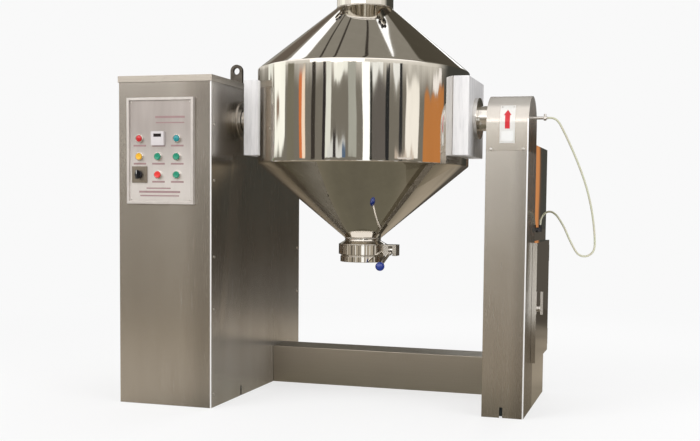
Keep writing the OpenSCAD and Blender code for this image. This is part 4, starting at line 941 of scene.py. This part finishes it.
def makeArrow(s):
    # the outline is walked in x and z; y keeps to the plate's face, which turns into an arch above the centre
    (a, b), (c, d), rows = s["x"], s["head"], s["rows"]
    z = np.concatenate([np.linspace(s["foot"], s["neck"], rows), np.linspace(s["neck"], s["tip"], rows)])
    mid = (a + b) / 2
    fall = (s["tip"] - z[rows:]) / (s["tip"] - s["neck"])
    half = np.concatenate([np.full(rows, (b - a) / 2), np.maximum((d - c) / 2 * fall, s["point"])])
    curved("directionArrow", np.stack([mid - half, mid + half], 1), z, s, "arrowInk")
    x0, x1, z0, z1 = s["blank"]
    z = np.linspace(z0, z1, s["blankRows"])
    curved("signBlank", np.tile((x0, x1), (s["blankRows"], 1)), z, s, "whiteInk")


def curved(name, sides, z, s, material):
    # two sheets of one outline: y is the centre less the root of radius squared less rise squared, level at its foot
    rise = np.maximum(z - s["centre"][1], 0)
    sheets = []
    for r in (s["radius"] + s["thick"], s["radius"]):
        y = s["centre"][0] - np.sqrt(r * r - rise * rise)
        sheets.append(np.stack([np.stack([sides[:, k], y, z], 1) for k in (0, 1)], 1))
    rows = len(z)
    points = np.concatenate([sheets[0], sheets[1]]).reshape(-1, 3)
    front = gridFaces(rows, 2)
    back = [[i + 2 * rows for i in f[::-1]] for f in front]
    ring = [2 * i for i in range(rows)] + [2 * i + 1 for i in range(rows)][::-1]
    rim = [[p, q, q + 2 * rows, p + 2 * rows] for p, q in zip(ring, ring[1:] + ring[:1])]
    makeMesh(name, points, front + back + rim, body=bodyOf["direction_plate"], material=material, smooth=50)


makeArrow(arrowSet)
print("arrow is made")


# every other node keeps its own solid, with softened edges
edgeSet = {
    "levelSteel": {"base_beam": 0.002},
    "lidSteel": {"cabinet_lid": 0.0008},
    "frontSteel": {"cabinet_front_panel": 0.0008},
    "innerSteel": {"cabinet_inner_panel": 0.0008},
    "columnSteel": {"column_shell": 0.0008},
    "capSteel": {"column_cap": 0.0008},
    "brushedSteel": {"cabinet_outer_panel": 0.0008, "cabinet_rear_panel": 0.0008},
    "mirrorSteel": {"charging_lid": 0.0010},
    "polishedSheet": {"rear_compartment": 0.0010, "compartment_door": 0.0010},
    "satinSteel": {"door_handle": 0.0010, "valve_disc": 0.0008, "air_pipe": 0.0004},
    "turnedSteel": {"valve_lever": 0.0004, "bearing_rings": 0.0006},
    "castPaint": {"gear_reducer": 0.002, "drive_motor": 0.002, "bearing_blocks": 0.002, "pedestals": 0.001},
    "oiledSteel": {"lifting_lug": 0.0012, "drive_sprocket": 0.0004, "driven_sprocket": 0.0004, "drive_chain": 0.0005,
                   "cabinet_base": 0.0008, "corner_posts": 0.0008},
    "framePaint": {"panel_frame": 0.0012},
    "plateMetal": {"panel_plate": 0.0004},
    "switchTile": {"switch_plate": 0.0008},
    "ivoryPlastic": {"speed_meter": 0.0009},
    "blackPlastic": {"switch_knob": 0.0010, "contact_blocks": 0.0008, "hose_gland": 0.0006, "lid_knob_left": 0.002,
                     "lid_knob_right": 0.002},
    "signWhite": {"direction_plate": 0.0002},
    "whiteRubber": {"lid_gasket": 0.0006, "valve_seat": 0.0004},
}
softenAll(edgeSet, 2)
print("plain nodes are dressed")


# ball of the lever, and weld beads
ballSet = {"flat": 0.96, "seam": 0.00018, "seamHalf": 0.03, "seamShare": 0.9, "steps": 40, "segments": 72}


def makeBall(s):
    # radius cos t and height sin t, with flat poles and a moulding seam round the middle
    low, high = spanOf("lever_ball")
    r = (high[0] - low[0]) / 2
    t = np.linspace(-math.asin(s["flat"]), math.asin(s["flat"]), s["steps"] + 1)
    t = np.sort(np.concatenate([t, [-s["seamHalf"], s["seamHalf"]]]))
    reach = r - s["seam"] * (abs(t) < s["seamHalf"] * s["seamShare"])
    side = np.stack([reach * np.cos(t), r * np.sin(t)], 1).tolist()
    turned("leverBall", [(0, side[0][1])] + side + [(0, side[-1][1])], (low + high) / 2, segments=s["segments"],
           body=bodyOf["lever_ball"], stands=("lever_ball",), material="blueBall", smooth=50)


makeBall(ballSet)

beadSet = {
    "places": ((0.0632, 0.5862), (0.0978, 1.3824)),     # radius and height
    "round": 0.0016, "sides": 12, "ripple": 0.0003, "count": 150, "segments": 900,
}


def makeBeads(s):
    # a small round ring turned about the axis, whose skin swells and sinks count times as it goes round
    t = np.linspace(0, 2 * np.pi, s["sides"], endpoint=False)
    for i, (r, z) in enumerate(s["places"]):
        ring = np.stack([r + s["round"] * np.cos(t), z + s["round"] * np.sin(t)], 1)
        turned("weldBead%d" % i, ring, middle, segments=s["segments"], closed=True, body="drum", material="turnedSteel",
               smooth=60, wave=lambda a, h: s["ripple"] * (1 + np.sin(s["count"] * a)) + 0 * h)


makeBeads(beadSet)
print("ball and beads are made")
